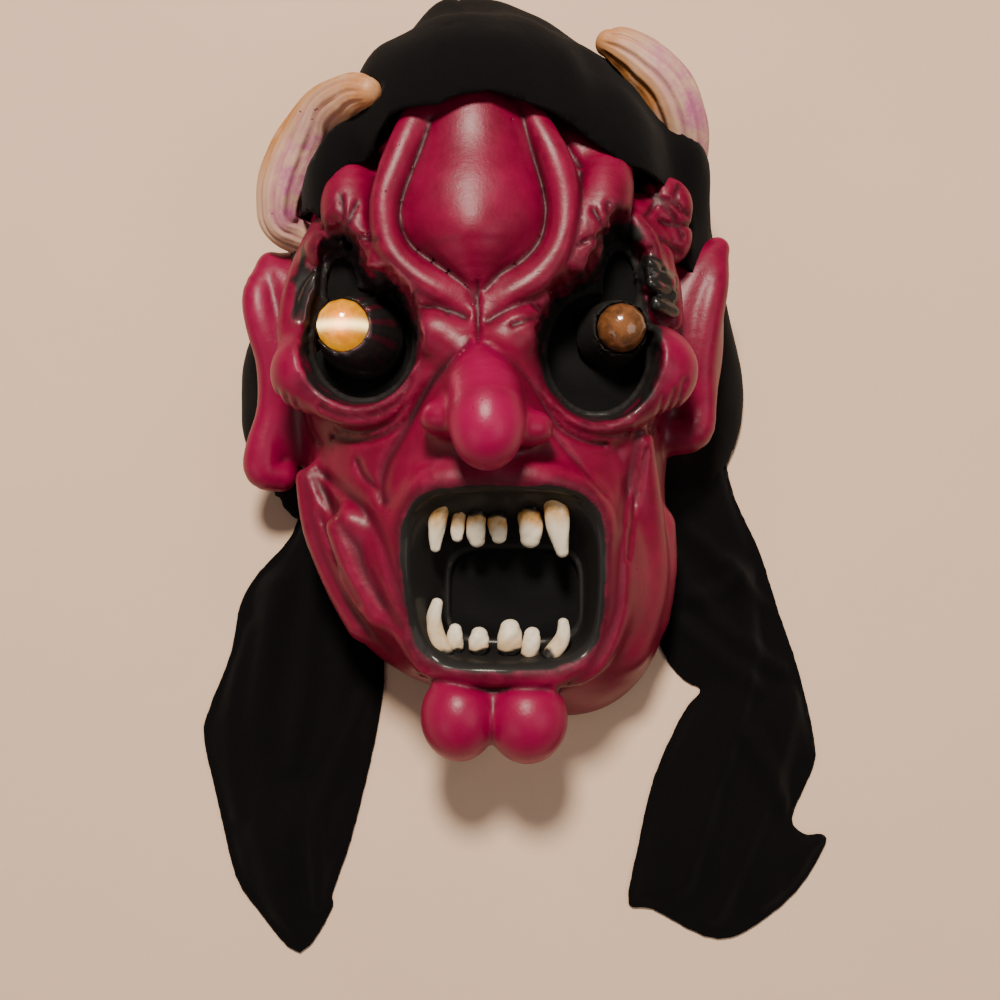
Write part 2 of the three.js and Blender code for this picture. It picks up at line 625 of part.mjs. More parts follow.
function tooth({ at: [ru, rv, tu, tv, half], depth, bow }) {
  const lean = rv > tv ? GUM_DEPTH : -GUM_DEPTH;
  const path = TOOTH_STEPS.map((t, i) => [
    ru + (tu - ru) * t + bow * sin(PI * t),
    rv + lean * (1 - t) + (tv - rv) * t,
    depth + 1.5 * t,
    half * TOOTH_WIDTHS[i],
  ]);
  return tapered(path, TOOTH_SIDES, () => 1);
}

// The skin of the latex as a solid block, and the same moved out by the air under the hood.
const skinPieces = thinned(
  skin((u, v, w) => max(face(u, v, w), -heightOf(v, w) + TABLE), gridOver(SKIN_SPAN, SKIN_STEPS)),
  SKIN_FACETS,
);
const insidePieces = thinned(
  skin(faceInside, gridOver(INSIDE_SPAN, INSIDE_STEPS)),
  INSIDE_FACETS,
);

const biggest = (made) => made.decompose().sort((a, b) => b.volume() - a.volume())[0];

// A flat piece of the given outline in the face frame, between two depths.
function slab(outline, from, to) {
  const shape = new THREE.Shape(outline.map(([u, v]) => new THREE.Vector2(u, v)));
  const geometry = new THREE.ExtrudeGeometry(shape, { depth: to - from, bevelEnabled: false });
  geometry.translate(0, 0, from);
  return solidOf(geometry.applyMatrix4(LEAN));
}

function oval([cu, cv, ru, rv], grow, sides = 16) {
  return Array.from({ length: sides }, (_, i) => {
    const turn = (2 * PI * i) / sides;
    return [cu + (ru + grow) * cos(turn), cv + (rv + grow) * sin(turn)];
  });
}

function roundedBox([cu, cv], [hu, hv], grow, sides = 24) {
  return Array.from({ length: sides }, (_, i) => {
    const turn = (2 * PI * (i + 0.5)) / sides;
    const bend = (x) => Math.sign(x) * abs(x) ** 0.5;
    return [cu + (hu + grow) * bend(cos(turn)), cv + (hv + grow) * bend(sin(turn))];
  });
}

function eyeHole({ socket, slit }, grow, from, to) {
  return slab(oval(socket, grow), from, to).add(slab(oval(slit, grow), from, to));
}

// The latex mask: skin minus its inside, open behind, with horns and teeth cast on.
function latexMask() {
  const inside = biggest(solid(insidePieces));
  let made = solid(skinPieces);
  for (const path of HORNS) made = made.add(solid(tapered(path, HORN_SIDES, hornSection)));
  for (const one of TEETH) made = made.add(solid(tooth(one)));
  made = made.subtract(inside);
  for (const eye of EYES)
    made = made.subtract(eyeHole(eye, -HOLE_MARGIN, EYE_FLOOR - LATEX_WALL - 4, EYE_FLOOR + 1));
  made = made.subtract(
    slab(
      roundedBox(MOUTH_PANEL_CENTRE, MOUTH_PANEL_HALF, -HOLE_MARGIN),
      MOUTH_PANEL_DEPTH - LATEX_WALL - 4,
      MOUTH_PANEL_DEPTH + 1,
    ),
  );
  return biggest(made.subtract(block([-FAR, -FAR, -FAR], [FAR, FAR, RIM_ABOVE_TABLE])));
}

// Every point moved out along the middle of its facets' directions.
function inflated({ points, triangles }, by) {
  const out = points.map(() => new THREE.Vector3());
  for (let t = 0; t < triangles.length; t += 3) {
    const [a, b, c] = [0, 1, 2].map((i) => new THREE.Vector3(...points[triangles[t + i]]));
    const normal = b.clone().sub(a).cross(c.clone().sub(a));
    for (const i of [0, 1, 2]) out[triangles[t + i]].add(normal);
  }
  return {
    points: points.map((p, i) => p.map((x, c) => x + by * out[i].normalize().toArray()[c])),
    triangles,
  };
}

// The hood: loose cloth over the crown and behind the head, lying on the table all round.
const HOOD = [
  [[12, 80, -70], [92, 117, 73]],
  [[3, 18, -84], [119, 104, 42]],
];
const HOOD_PEAK = [[-8, 176, -60], [22, 24, 26]];
const HOOD_SLOPE = [29, 184, 0.6, 0.8]; // a point on the slope above the right horn, and its way out
const HOOD_SWELLINGS = [
  { form: [[-3, 127, -27], [58, 50, 51]], blend: 14 },
  { form: [[-60, 104, -34], [18, 34, 38]], blend: 8 },
  { form: [[49, 112, -32], [28, 34, 39]], blend: 10 },
  { form: [[87, 114, -46], [13, 22, 20]], blend: 8 },
];
const HOOD_OVER_SKULL = 4.2; // the cloth clears the back of the head by this much
const HOOD_EDGE_DEPTH = -48; // the hood's sides stop behind the ears at this depth
const HOOD_SIDE_TOP = 70; // and up to this height on the face
const HOOD_BROW_LINE = [
  [-92, 66], [-74, 72], [-67, 86], [-62, 97.5], [-57, 107], [-53, 108.5], [-46, 109.5], [-42, 119],
  [-37, 124.5], [-30, 126], [-18, 126], [-7, 130], [3, 131.5], [15, 128.5], [25, 126], [35, 122.5],
  [47, 114], [56, 107.5], [65, 106.5], [84, 101], [87.5, 95], [81, 81], [94, 66],
];
const NAPE = -40; // where the back panel ends towards the chin, in the table's frame
const TAILS = [
  {
    outline: curve([[-84, -4], [-89, -26], [-103, -43], [-111, -58], [-114, -80], [-122, -104], [-124, -118],
      [-116, -146], [-107, -176], [-96, -191], [-78, -208], [-65, -190], [-65, -184], [-59, -166],
      [-53, -142], [-47, -111], [-45, -84], [-52, -50], [-62, -4], [-84, -4]], 2),
    folds: [
      [[-52, -97], [-71, -146], [-72, -163], [-69, -182]],
      [[-95, -60], [-100, -100], [-98, -140], [-88, -180]],
    ],
  },
  {
    outline: curve([[112, 14], [116, -8], [126, -33], [133, -60], [141, -89], [146, -120], [144, -132],
      [134, -152], [139, -159], [146, -159], [148, -163], [134, -183], [110, -200], [94, -201],
      [72, -190], [62, -188], [66, -167], [75, -134], [89, -106], [97, -97], [89, -92], [80, -79],
      [74, -50], [84, 0], [96, 14], [112, 14]], 2),
    folds: [
      [[118, -60], [117, -92], [97, -146], [86, -169]],
      [[117, -122], [134, -152]],
      [[84, -40], [106, -68], [132, -88]],
    ],
  },
];
const TAIL_THICK = 8;
const FOLD_RISE = 4;

// Signed distance in the plane to a closed outline, negative inside.
function outlineDistance(x, y, outline) {
  let best = Infinity;
  let inside = false;
  for (let i = 0; i < outline.length - 1; i++) {
    const [ax, ay] = outline[i];
    const [bx, by] = outline[i + 1];
    const [dx, dy] = [bx - ax, by - ay];
    const t = clamp(((x - ax) * dx + (y - ay) * dy) / (dx * dx + dy * dy), 0, 1);
    best = min(best, hypot(x - ax - t * dx, y - ay - t * dy));
    if (ay > y !== by > y && x < ((bx - ax) * (y - ay)) / (by - ay) + ax) inside = !inside;
  }
  return inside ? -best : best;
}

function tail(x, y, z, { outline, folds }) {
  let top = TAIL_THICK;
  for (const path of folds) top += crease(x, y, { path, width: 7, depth: FOLD_RISE });
  return -join(-outlineDistance(x, y, outline), top - z, 5);
}

// From the table's frame back to the face frame.
function fromTable(x, y, z) {
  const h = z + TABLE;
  return [x, y * cos(TILT) + h * sin(TILT), -y * sin(TILT) + h * cos(TILT)];
}

function hoodForm(x, y, z) {
  const [u, v, w] = fromTable(x, y, z);
  let f = join(ball(u, v, w, ...HOOD[0]), ball(u, v, w, ...HOOD[1]), 25);
  f = join(f, ball(u, v, w, ...HOOD_PEAK), 20);
  for (const { form, blend } of HOOD_SWELLINGS) f = join(f, ball(u, v, w, ...form), blend);
  f = join(f, headCore(u, v, w) - HOOD_OVER_SKULL + max(0, HOOD_SIDE_TOP - v) * 0.3, 6);
  const [su, sv, outU, outV] = HOOD_SLOPE;
  return carve(f, (su - u) * outU + (sv - v) * outV, 12);
}

const UNDER = 4; // cloth forms start this far under the table and are then cut off at it
const below = (top) => block([-FAR, -FAR, -FAR], [FAR, FAR, top]);

function hoodShell() {
  const grid = gridOver(HOOD_SPAN, HOOD_STEPS);
  const outer = skin((x, y, z) => max(hoodForm(x, y, z), -UNDER - z), grid);
  const inner = skin((x, y, z) => max(hoodForm(x, y, z) + CLOTH_WALL, CLOTH_WALL - z), grid);
  const hollow = solid(thinned(inner, HOOD_INSIDE_FACETS), false);
  return solid(thinned(outer, HOOD_FACETS), false).subtract(hollow);
}

function tailSolid(one) {
  const spans = [0, 1].map((c) => {
    const at = one.outline.map((p) => p[c]);
    return [min(...at) - TAIL_MARGIN, max(...at) + TAIL_MARGIN];
  });
  const grid = gridOver([...spans, [-2 * UNDER, TAIL_THICK + 3 * FOLD_RISE]], TAIL_STEPS);
  const made = skin((x, y, z) => max(tail(x, y, z, one), -UNDER - z), grid);
  return solid(thinned(made, TAIL_FACETS), false);
}

// The hood's shell with its front cut away along the brow and its tails joined on.
function hood(latexOutside) {
  let made = hoodShell();
  const sides = [[-FAR, -FAR], [FAR, -FAR], [FAR, HOOD_SIDE_TOP], [-FAR, HOOD_SIDE_TOP]];
  made = made.subtract(slab(HOOD_BROW_LINE, HOOD_EDGE_DEPTH - 12, FAR));
  made = made.subtract(slab(sides, HOOD_EDGE_DEPTH, FAR));
  made = made.subtract(block([-FAR, -FAR, -FAR], [FAR, NAPE, FAR]));
  for (const one of TAILS) made = made.add(tailSolid(one));
  return biggest(made.subtract(latexOutside).subtract(below(0)));
}

// The eye's lens: a round front over a rim, on a narrower barrel that reaches back to the cloth.
const LENS_SIDES = 16;
const LENS_STEPS = 5;
const LENS_RIM = 3.5;
const LENS_FLATNESS = 0.8;
const BARREL_SHARE = 0.85; // barrel radius against lens radius

function eyeDome({ dome: [u, v, w], radius }) {
  const back = EYE_FLOOR - LATEX_WALL - w;
  const barrel = BARREL_SHARE * radius;
  const profile = [[0, back], [barrel, back], [barrel, -LENS_RIM], [radius, -LENS_RIM]];
  for (let i = 0; i <= LENS_STEPS; i++) {
    const turn = (PI / 2) * (i / LENS_STEPS);
    profile.push([i < LENS_STEPS ? radius * cos(turn) : 0, LENS_FLATNESS * radius * sin(turn)]);
  }
  const geometry = new THREE.LatheGeometry(profile.map((p) => new THREE.Vector2(...p)), LENS_SIDES);
  geometry.rotateX(PI / 2);
  geometry.translate(u, v, w);
  return solidOf(geometry.applyMatrix4(LEAN));
}

function meshOf(name, made, look) {
  const { vertProperties, triVerts } = made.getMesh();
  const geometry = new THREE.BufferGeometry();
  geometry.setAttribute("position", new THREE.BufferAttribute(vertProperties, 3));
  geometry.setIndex(new THREE.BufferAttribute(triVerts, 1));
  const mesh = new THREE.Mesh(geometry, new THREE.MeshStandardMaterial(look));
  mesh.name = name;
  return mesh;
}

const LATEX = { color: 0xa5103a, roughness: 0.45, metalness: 0 };
const CLOTH = { color: 0x101012, roughness: 0.95, metalness: 0 };
const LENS = { color: 0xc07a3c, roughness: 0.15, metalness: 0 };

const latex = latexMask();
let latexOutside = solid(inflated(thinned(skinPieces, ROUGH_FACETS), ROUGH_GAP)).add(
  solid(inflated(skinPieces, CLOTH_GAP)),
);
for (const path of HORNS) {
  const wider = path.map(([u, v, w, r]) => [u, v, w, r + CLOTH_GAP]);
  latexOutside = latexOutside.add(solid(tapered(wider, HORN_SIDES, hornSection)));
}
latexOutside = latexOutside.subtract(below(CLOTH_WALL));
const behindMouth = MOUTH_PANEL_DEPTH - LATEX_WALL - SCRIM_GAP;
const behindEyes = EYE_FLOOR - LATEX_WALL - SCRIM_GAP;
const room = biggest(solid(inflated(insidePieces, -SCRIM_GAP)).intersect(solid(insidePieces)));
const part = new THREE.Group();
part.add(meshOf("latex_mask", latex, LATEX));
part.add(meshOf("hood", hood(latexOutside), CLOTH));
EYES.forEach((eye, i) => {
  const side = i ? "right" : "left";
  part.add(meshOf("eye_dome_" + side, eyeDome(eye), LENS));
  const scrim = eyeHole(eye, 1, behindEyes - SCRIM_WALL, behindEyes).intersect(room);
  part.add(meshOf("eye_scrim_" + side, biggest(scrim), CLOTH));
});
const mouthOutline = roundedBox(MOUTH_PANEL_CENTRE, MOUTH_PANEL_HALF, 1);
const mouthScrim = slab(mouthOutline, behindMouth - SCRIM_WALL, behindMouth).intersect(room);
part.add(meshOf("mouth_scrim", biggest(mouthScrim), CLOTH));

// The origin goes under the middle of the whole part, on the table.
const bounds = new THREE.Box3().setFromObject(part);
const middle = bounds.getCenter(new THREE.Vector3());
for (const mesh of part.children) mesh.geometry.translate(-middle.x, -middle.y, -bounds.min.z);
export default part;
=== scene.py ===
"""Dresses the solid model of a latex devil mask: painted latex, horns, teeth, lens eyes and a cloth hood.

Forms are worked out in the face's own frame, in millimetres: u to the viewer's right, v up the face
and w out of the face. The mask leans back on the table, and the origin lies under its middle.
"""

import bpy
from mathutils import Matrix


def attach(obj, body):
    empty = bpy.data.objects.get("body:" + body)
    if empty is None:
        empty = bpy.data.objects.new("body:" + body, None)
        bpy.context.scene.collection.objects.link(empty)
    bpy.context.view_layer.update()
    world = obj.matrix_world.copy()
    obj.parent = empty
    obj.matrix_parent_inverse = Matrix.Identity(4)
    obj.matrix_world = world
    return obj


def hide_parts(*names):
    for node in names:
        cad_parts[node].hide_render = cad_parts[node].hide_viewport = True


bl_info = {
    "name": "Latex Devil Mask",
    "version": (1, 0, 0),
    "blender": (4, 5, 0),
    "location": "View3D > Sidebar > Devil Mask",
    "description": "Builds a painted latex devil mask with a cloth hood, piece by piece",
    "category": "Add Mesh",
}

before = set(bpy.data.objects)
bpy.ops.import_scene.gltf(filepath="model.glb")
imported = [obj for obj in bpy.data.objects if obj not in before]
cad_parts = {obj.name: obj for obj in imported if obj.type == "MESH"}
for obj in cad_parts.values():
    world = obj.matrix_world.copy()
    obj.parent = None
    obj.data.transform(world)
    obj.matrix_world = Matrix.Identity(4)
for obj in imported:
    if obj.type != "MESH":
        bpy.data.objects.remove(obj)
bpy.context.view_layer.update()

import math

import bpy
import numpy as np
from bpy.props import FloatProperty, FloatVectorProperty, PointerProperty
from mathutils import Vector

# Where the mask lies, and its main depths, as in the solid model
FACE_TILT = math.radians(15)
SINE, COSINE = math.sin(FACE_TILT), math.cos(FACE_TILT)
TABLE = -78.0
ROW_SHIFT = np.array([-11.364, -3.689, 0.0])
LATEX_WALL = 3.6
HOLLOW_REACH = 26.0
RIM_ABOVE_TABLE = 3.45
EYE_FLOOR = -13.0
MOUTH_CENTRE = (8.6, -60)
MOUTH_HALF = (38.5, 34.5)
MOUTH_PANEL_CENTRE = (13, -67.5)
MOUTH_PANEL_HALF = (28.5, 20.5)
MOUTH_PANEL_DEPTH = -6.0
LIP_RISE = 26.0
GLUE_GAP = 0.35
SCRIM_BACK = EYE_FLOOR - LATEX_WALL - GLUE_GAP
MOUTH_BACK = MOUTH_PANEL_DEPTH - LATEX_WALL - GLUE_GAP
HOOD_EDGE_DEPTH = -48.0
HOOD_SIDE_TOP = 70.0
HOOD_OVER_SKULL = 4.2
NAPE = -40.0

# The deepest groove, how near the skin it is worked out, and the depths over which grooves begin
GROOVE_LIMIT = 2.3
GROOVE_BAND = 8
FRONT = (-36, -30)

# Room round each lens, how high a lens rises for its radius, and the ledge left round each hole
BORE_GAP = 0.5
LENS_RISE = 0.8
HOLE_EDGE = 2

# Where the skin and the hood are looked for, in millimetres: the face frame and the table frame
LATEX_BOX = (-112, -142, -84), (112, 176, 64)
HOOD_BOX = (-132, -60, -4), (140, 212, 148)

# How strong the black haze is, the middle of the left sleeve, and how many small rolls are black
HAZE = 0.75
SLEEVE_MIDDLE = (-57, 42)
PINCHED = 5

# How many triangles the skin may have, and how strongly its outside is kept when it is thinned
MOST_TRIANGLES = 196000
OUTSIDE_WEIGHT = 0.05

# The photograph's viewpoint: the camera's spot in the face frame, half the view against its distance
CAMERA_SPOT = (7, -28.6, 520)
HALF_VIEW = 500 / 1274


def to_row(points):
    """Face frame in millimetres to the row frame in metres."""
    u, v, w = np.asarray(points, float).T
    row = np.stack([u, v * COSINE - w * SINE, v * SINE + w * COSINE - TABLE], 1)
    return (row + ROW_SHIFT) / 1000


def from_table(points):
    """Table frame in millimetres to the face frame."""
    x, y, z = np.asarray(points, float).T
    h = z + TABLE
    return np.stack([x, y * COSINE + h * SINE, -y * SINE + h * COSINE], 1)


def height(p):
    return p[:, 1] * SINE + p[:, 2] * COSINE - TABLE


# Distance helpers


def join(a, b, k):
    """The union of two forms, run into each other over a width k."""
    h = np.maximum(k - np.abs(a - b), 0) / k
    return np.minimum(a, b) - h * h * k / 4


def carve(a, b, k):
    """The first form less the second, with an edge rounded over a width k."""
    return -join(-a, b, k)


def ball(p, centre, radii):
    """About the distance to an ellipsoid."""
    q = (p - centre) / radii
    near = np.linalg.norm(q, axis=1)
    slope = np.linalg.norm(q / radii, axis=1)
    return near * (near - 1) / np.maximum(slope, 1e-9)


class Path:
    """A smooth curve through given points, kept as short straight steps."""

    def __init__(self, points, steps=4):
        pts = np.array(points, float)
        n = len(pts)
        out = []
        for i in range(n - 1):
            a, b, c, d = (pts[min(max(j, 0), n - 1)] for j in (i - 1, i, i + 1, i + 2))
            for s in range(steps):
                t = s / steps
                square, cube = 2 * a - 5 * b + 4 * c - d, 3 * b - a - 3 * c + d
                out.append(0.5 * (2 * b + (c - a) * t + square * t * t + cube * t**3))
        out.append(pts[-1])
        self.points = np.array(out)
        self.hub = self.points[:, :3].mean(0)
        self.reach = np.linalg.norm(self.points[:, :3] - self.hub, axis=1).max()


def roll_distance(p, path):
    """Distance to a roll whose radius changes along its path."""
    best = np.full(len(p), np.inf)
    pts = path.points
    for a, b in zip(pts[:-1], pts[1:]):
        d = b[:3] - a[:3]
        t = np.clip(((p - a[:3]) @ d) / (d @ d), 0, 1)
        off = p - a[:3] - t[:, None] * d
        best = np.minimum(best, np.sqrt((off * off).sum(1)) - a[3] - t * (b[3] - a[3]))
    return best


def add_roll(f, p, path, k):
    near = np.linalg.norm(p - path.hub, axis=1) - path.reach - path.points[:, 3].max() < np.abs(f) + k
    if near.any():
        f[near] = join(f[near], roll_distance(p[near], path), k)
    return f


def line_distance(p, path):
    """Squared distance in the face's plane to a line drawn on it."""
    best = np.full(len(p), np.inf)
    pts = path.points
    for a, b in zip(pts[:-1], pts[1:]):
        d = b[:2] - a[:2]
        t = np.clip(((p[:, :2] - a[:2]) @ d) / (d @ d), 0, 1)
        off = p[:, :2] - a[:2] - t[:, None] * d
        best = np.minimum(best, (off * off).sum(1))
    return best


def ripple(p, scale, seed):
    """A smooth unsteady value, about -1 to 1, of the given wave length."""
    rng = np.random.default_rng(seed)
    total = np.zeros(len(p))
    for _ in range(9):
        way = rng.normal(size=3)
        way *= 2 * math.pi / (scale * np.linalg.norm(way) * rng.uniform(0.7, 1.5))
        total += np.sin(p @ way + rng.uniform(0, 2 * math.pi))
    return total / 4


def ramp(x, low, high):
    """A smooth rise from 0 at low to 1 at high."""
    t = np.clip((x - low) / (high - low), 0, 1)
    return t * t * (3 - 2 * t)


# The forms of the face, as in the solid model

SKULL = [
    ((0, 45, -72), (90, 122, 92), 0),
    ((2, -52, -45), (70, 62, 68), 44),
    ((40, -76, -46), (38, 46, 44), 28),
]
MUZZLE = ((8, -56, -14), (52, 47, 38))
TEMPLE = ((37, 112, -16), (20, 32, 15))
BROW_DROP = [((-4, 84, 7), (29.5, 24.5, 21.5)), ((-3.5, 108, -2), (26.5, 44, 23))]
BROW_DROP_TIP = Path([(-4, 74, 17, 11), (-3, 60, 17, 6), (-2, 51, 16, 2.5)])
TUBES = [
    Path([(-22, 136, 3, 6), (-28, 121, 9, 6.5), (-34, 105, 12, 7), (-39, 89, 14, 7), (-37, 72, 15, 7),
          (-29, 61, 16, 7), (-17, 53, 17, 6.5), (-5, 45.5, 16, 5)]),
    Path([(15, 140, 1, 6), (21, 123, 8, 6.5), (28.5, 107, 11.5, 7.2), (33, 90, 13, 7.3), (31.5, 73, 15, 7.2),
          (23, 60, 16, 7), (12, 52, 17, 6.5), (1, 45.5, 16, 5)]),
]
BROWS = [
    Path([(-56, 110, -15, 9), (-55, 99, -6, 11.5), (-54, 86, -1, 12), (-51, 74, 3, 10), (-44, 64, 7, 8)]),
    Path([(-66, 76, -10, 7), (-55, 69, 0, 7), (-46, 60, 7, 6.5), (-37, 54, 10, 6), (-28, 49, 12, 5)]),
    Path([(50, 115, -14, 8.5), (50, 105, -4, 11.5), (48.5, 93, 2, 12.5), (45, 80, 6, 12), (39.5, 67, 9, 9.5),
          (29, 54, 12, 6.5)]),
    Path([(36, 133, -12, 7), (40, 118, -7, 7), (50, 106, -12, 6)]),
    Path([(-64, 86, -18, 8), (-72, 72, -19, 8), (-77, 58, -18, 8), (-78, 42, -16, 9)]),
    Path([(66, 88, -18, 9), (72, 76, -18, 8), (74, 64, -18, 7)]),
    Path([(70, 66, -12, 5), (78, 58, -18, 5), (80, 48, -22, 5)]),
]
INNER_EYES = [((-17.5, 37, 15.2), (12.5, 10.5, 11)), ((13.5, 38, 15.2), (13.5, 11, 11))]
NOSE_BRIDGE = Path([(-1.5, 37, 13, 6), (-1.5, 27, 21, 9), (0.5, 15, 32.5, 12.2), (1.8, 5, 40.5, 14)])
NOSE_BALLS = [
    ((2.2, -2, 43.5), (13.6, 15.6, 15)),
    ((-15.5, 3, 31), (8.5, 7, 9.5)),
    ((19, -1, 31), (9, 7, 9.5)),
]
NOSE_ROOT = ((1, 8, 15), (21, 27, 20))
CHEEK_BALLS = [((-71, 24, -8), (17, 17, 16)), ((69, 25, -8), (20, 19, 17))]
LOWER_LIDS = [
    Path([(-27, 22, 10, 5), (-36, 11, 8, 6), (-50, 6, 5, 6.5), (-62, 11, 1, 7)]),
    Path([(25, 26, 10, 5), (30, 11, 9, 6), (42, 3, 6, 6.5), (54, 4, 3, 7), (64, 12, 0, 8)]),
]
UPPER_LIP = Path([(-27, -36, 14, 6), (-20, -23, 20, 7), (-4, -22, 23, 7.5), (8, -21, 23, 7.5),
                  (24, -21, 22, 7), (40, -27, 15, 6.5), (48, -42, 8, 6)])
LOWER_LIP = Path([(-31, -60, 8, 5), (-29, -80, 8, 6), (-18, -96, 9, 6.5), (4, -97, 11, 7),
                  (28, -99, 9, 7), (44, -92, 5, 7), (51, -74, 3, 6), (51, -52, 4, 5)])
CHIN_BALLS = [
    ((-9.5, -116, 5), (15.6, 18, 18)),
    ((18, -117, 5), (16.4, 18, 18)),
    ((5, -106, -6), (25, 20, 18)),
]
JAW_ROLLS = [
    Path([(-73, -20, -22, 7), (-68, -40, -22, 9), (-60, -60, -22, 9), (-50, -80, -18, 8)]),
    Path([(-55, -40, 0, 9), (-50, -58, 0, 9), (-42, -74, 2, 7)]),
    Path([(62, -5, -10, 9), (64, -24, -14, 10), (66, -46, -18, 11), (66, -66, -20, 11), (60, -90, -18, 10)]),
    Path([(76, -40, -34, 7), (75, -58, -32, 8), (71, -78, -30, 8)]),
]
EARS = [
    (Path([(-95, 76, -44, 4), (-99, 62, -38, 6.5), (-97, 48, -36, 7), (-92, 30, -38, 7),
           (-93, 12, -40, 6.5), (-97, -6, -41, 8), (-97, -15, -42, 8.5), (-90, -18, -44, 7)]),
     ((-88, 30, -46), (12, 44, 12))),
    (Path([(104, 82, -44, 4), (101, 66, -38, 6), (97, 50, -36, 6.5), (94, 30, -37, 7),
           (95, 14, -40, 7), (92, 2, -41, 8.5), (82, -1, -42, 8)]),
     ((90, 40, -46), (14, 42, 12))),
    (Path([(103, 83, -43, 4), (97, 75, -40, 4.5), (91, 66, -38, 5), (87, 54, -37, 5), (85, 40, -36, 5)]),
     ((91, 50, -46), (13, 36, 11))),
    (Path([(-95, 75, -43, 4), (-90, 70, -40, 4.5), (-85, 60, -38, 5), (-81, 48, -36, 5)]),
     ((-87, 50, -46), (11, 30, 11))),
]
EYES = [
    {"socket": (-50.5, 37, 22.5, 25), "slit": (-59.5, 60, 8.5, 18), "dome": (-57, 42.5, 2), "radius": 10.5},
    {"socket": (47.5, 33, 22.5, 27), "slit": (57, 60, 9, 20), "dome": (56.5, 41.5, 1), "radius": 10.0},
]
SOCKET_LIPS = [
    Path([(-30, 40, 10, 4), (-33, 56, 9, 4), (-46, 66, 4, 4)]),
    Path([(28, 42, 11, 4), (36, 58, 9, 4.5), (47, 72, 6, 5)]),
]

# Finer relief that only the dressed mask has: latex sleeves round the lenses, and pinched rolls
SLEEVES = [
    Path([(-50, 38.5, -15, 17.5), (-53, 40, -7, 15.5), (-56.3, 42, -0.5, 12.3)]),
    Path([(53, 40, -15, 14.5), (55, 41, -7, 13), (56.5, 41.5, -0.5, 11.2)]),
]
SMALL_ROLLS = [
    Path([(62, 71, -1, 3.2), (69, 66.5, -4, 3.6), (77, 62, -11, 3.2)]),
    Path([(64, 60.5, -2, 2.8), (70, 59, -4, 3.2), (78, 56.5, -11, 3)]),
    Path([(65, 53.5, -3, 2.8), (71, 52, -5, 3.2), (79, 50, -12, 3)]),
    Path([(-66, 66, -8, 3), (-72, 58, -9, 3.4), (-75, 48, -10, 3)]),
    Path([(-69, 78, -11, 2.8), (-74, 68, -13, 3), (-78, 58, -14, 2.8)]),
    Path([(34, 6, 6, 2.2), (44, 1, 5, 2.6), (55, 3, 2, 2.2)]),
    Path([(62, 86, -8, 5), (67, 78, -8, 6), (71, 68, -10, 5)]),
    Path([(-57, 78, -3, 5), (-52.5, 67, 3, 6.5), (-43, 58, 8, 6.5), (-31, 52, 12, 5)]),
]
SCALY_ROOT = [((76, 96, -22), (13, 13, 9)), ((80, 84, -24), (9, 12, 8))]
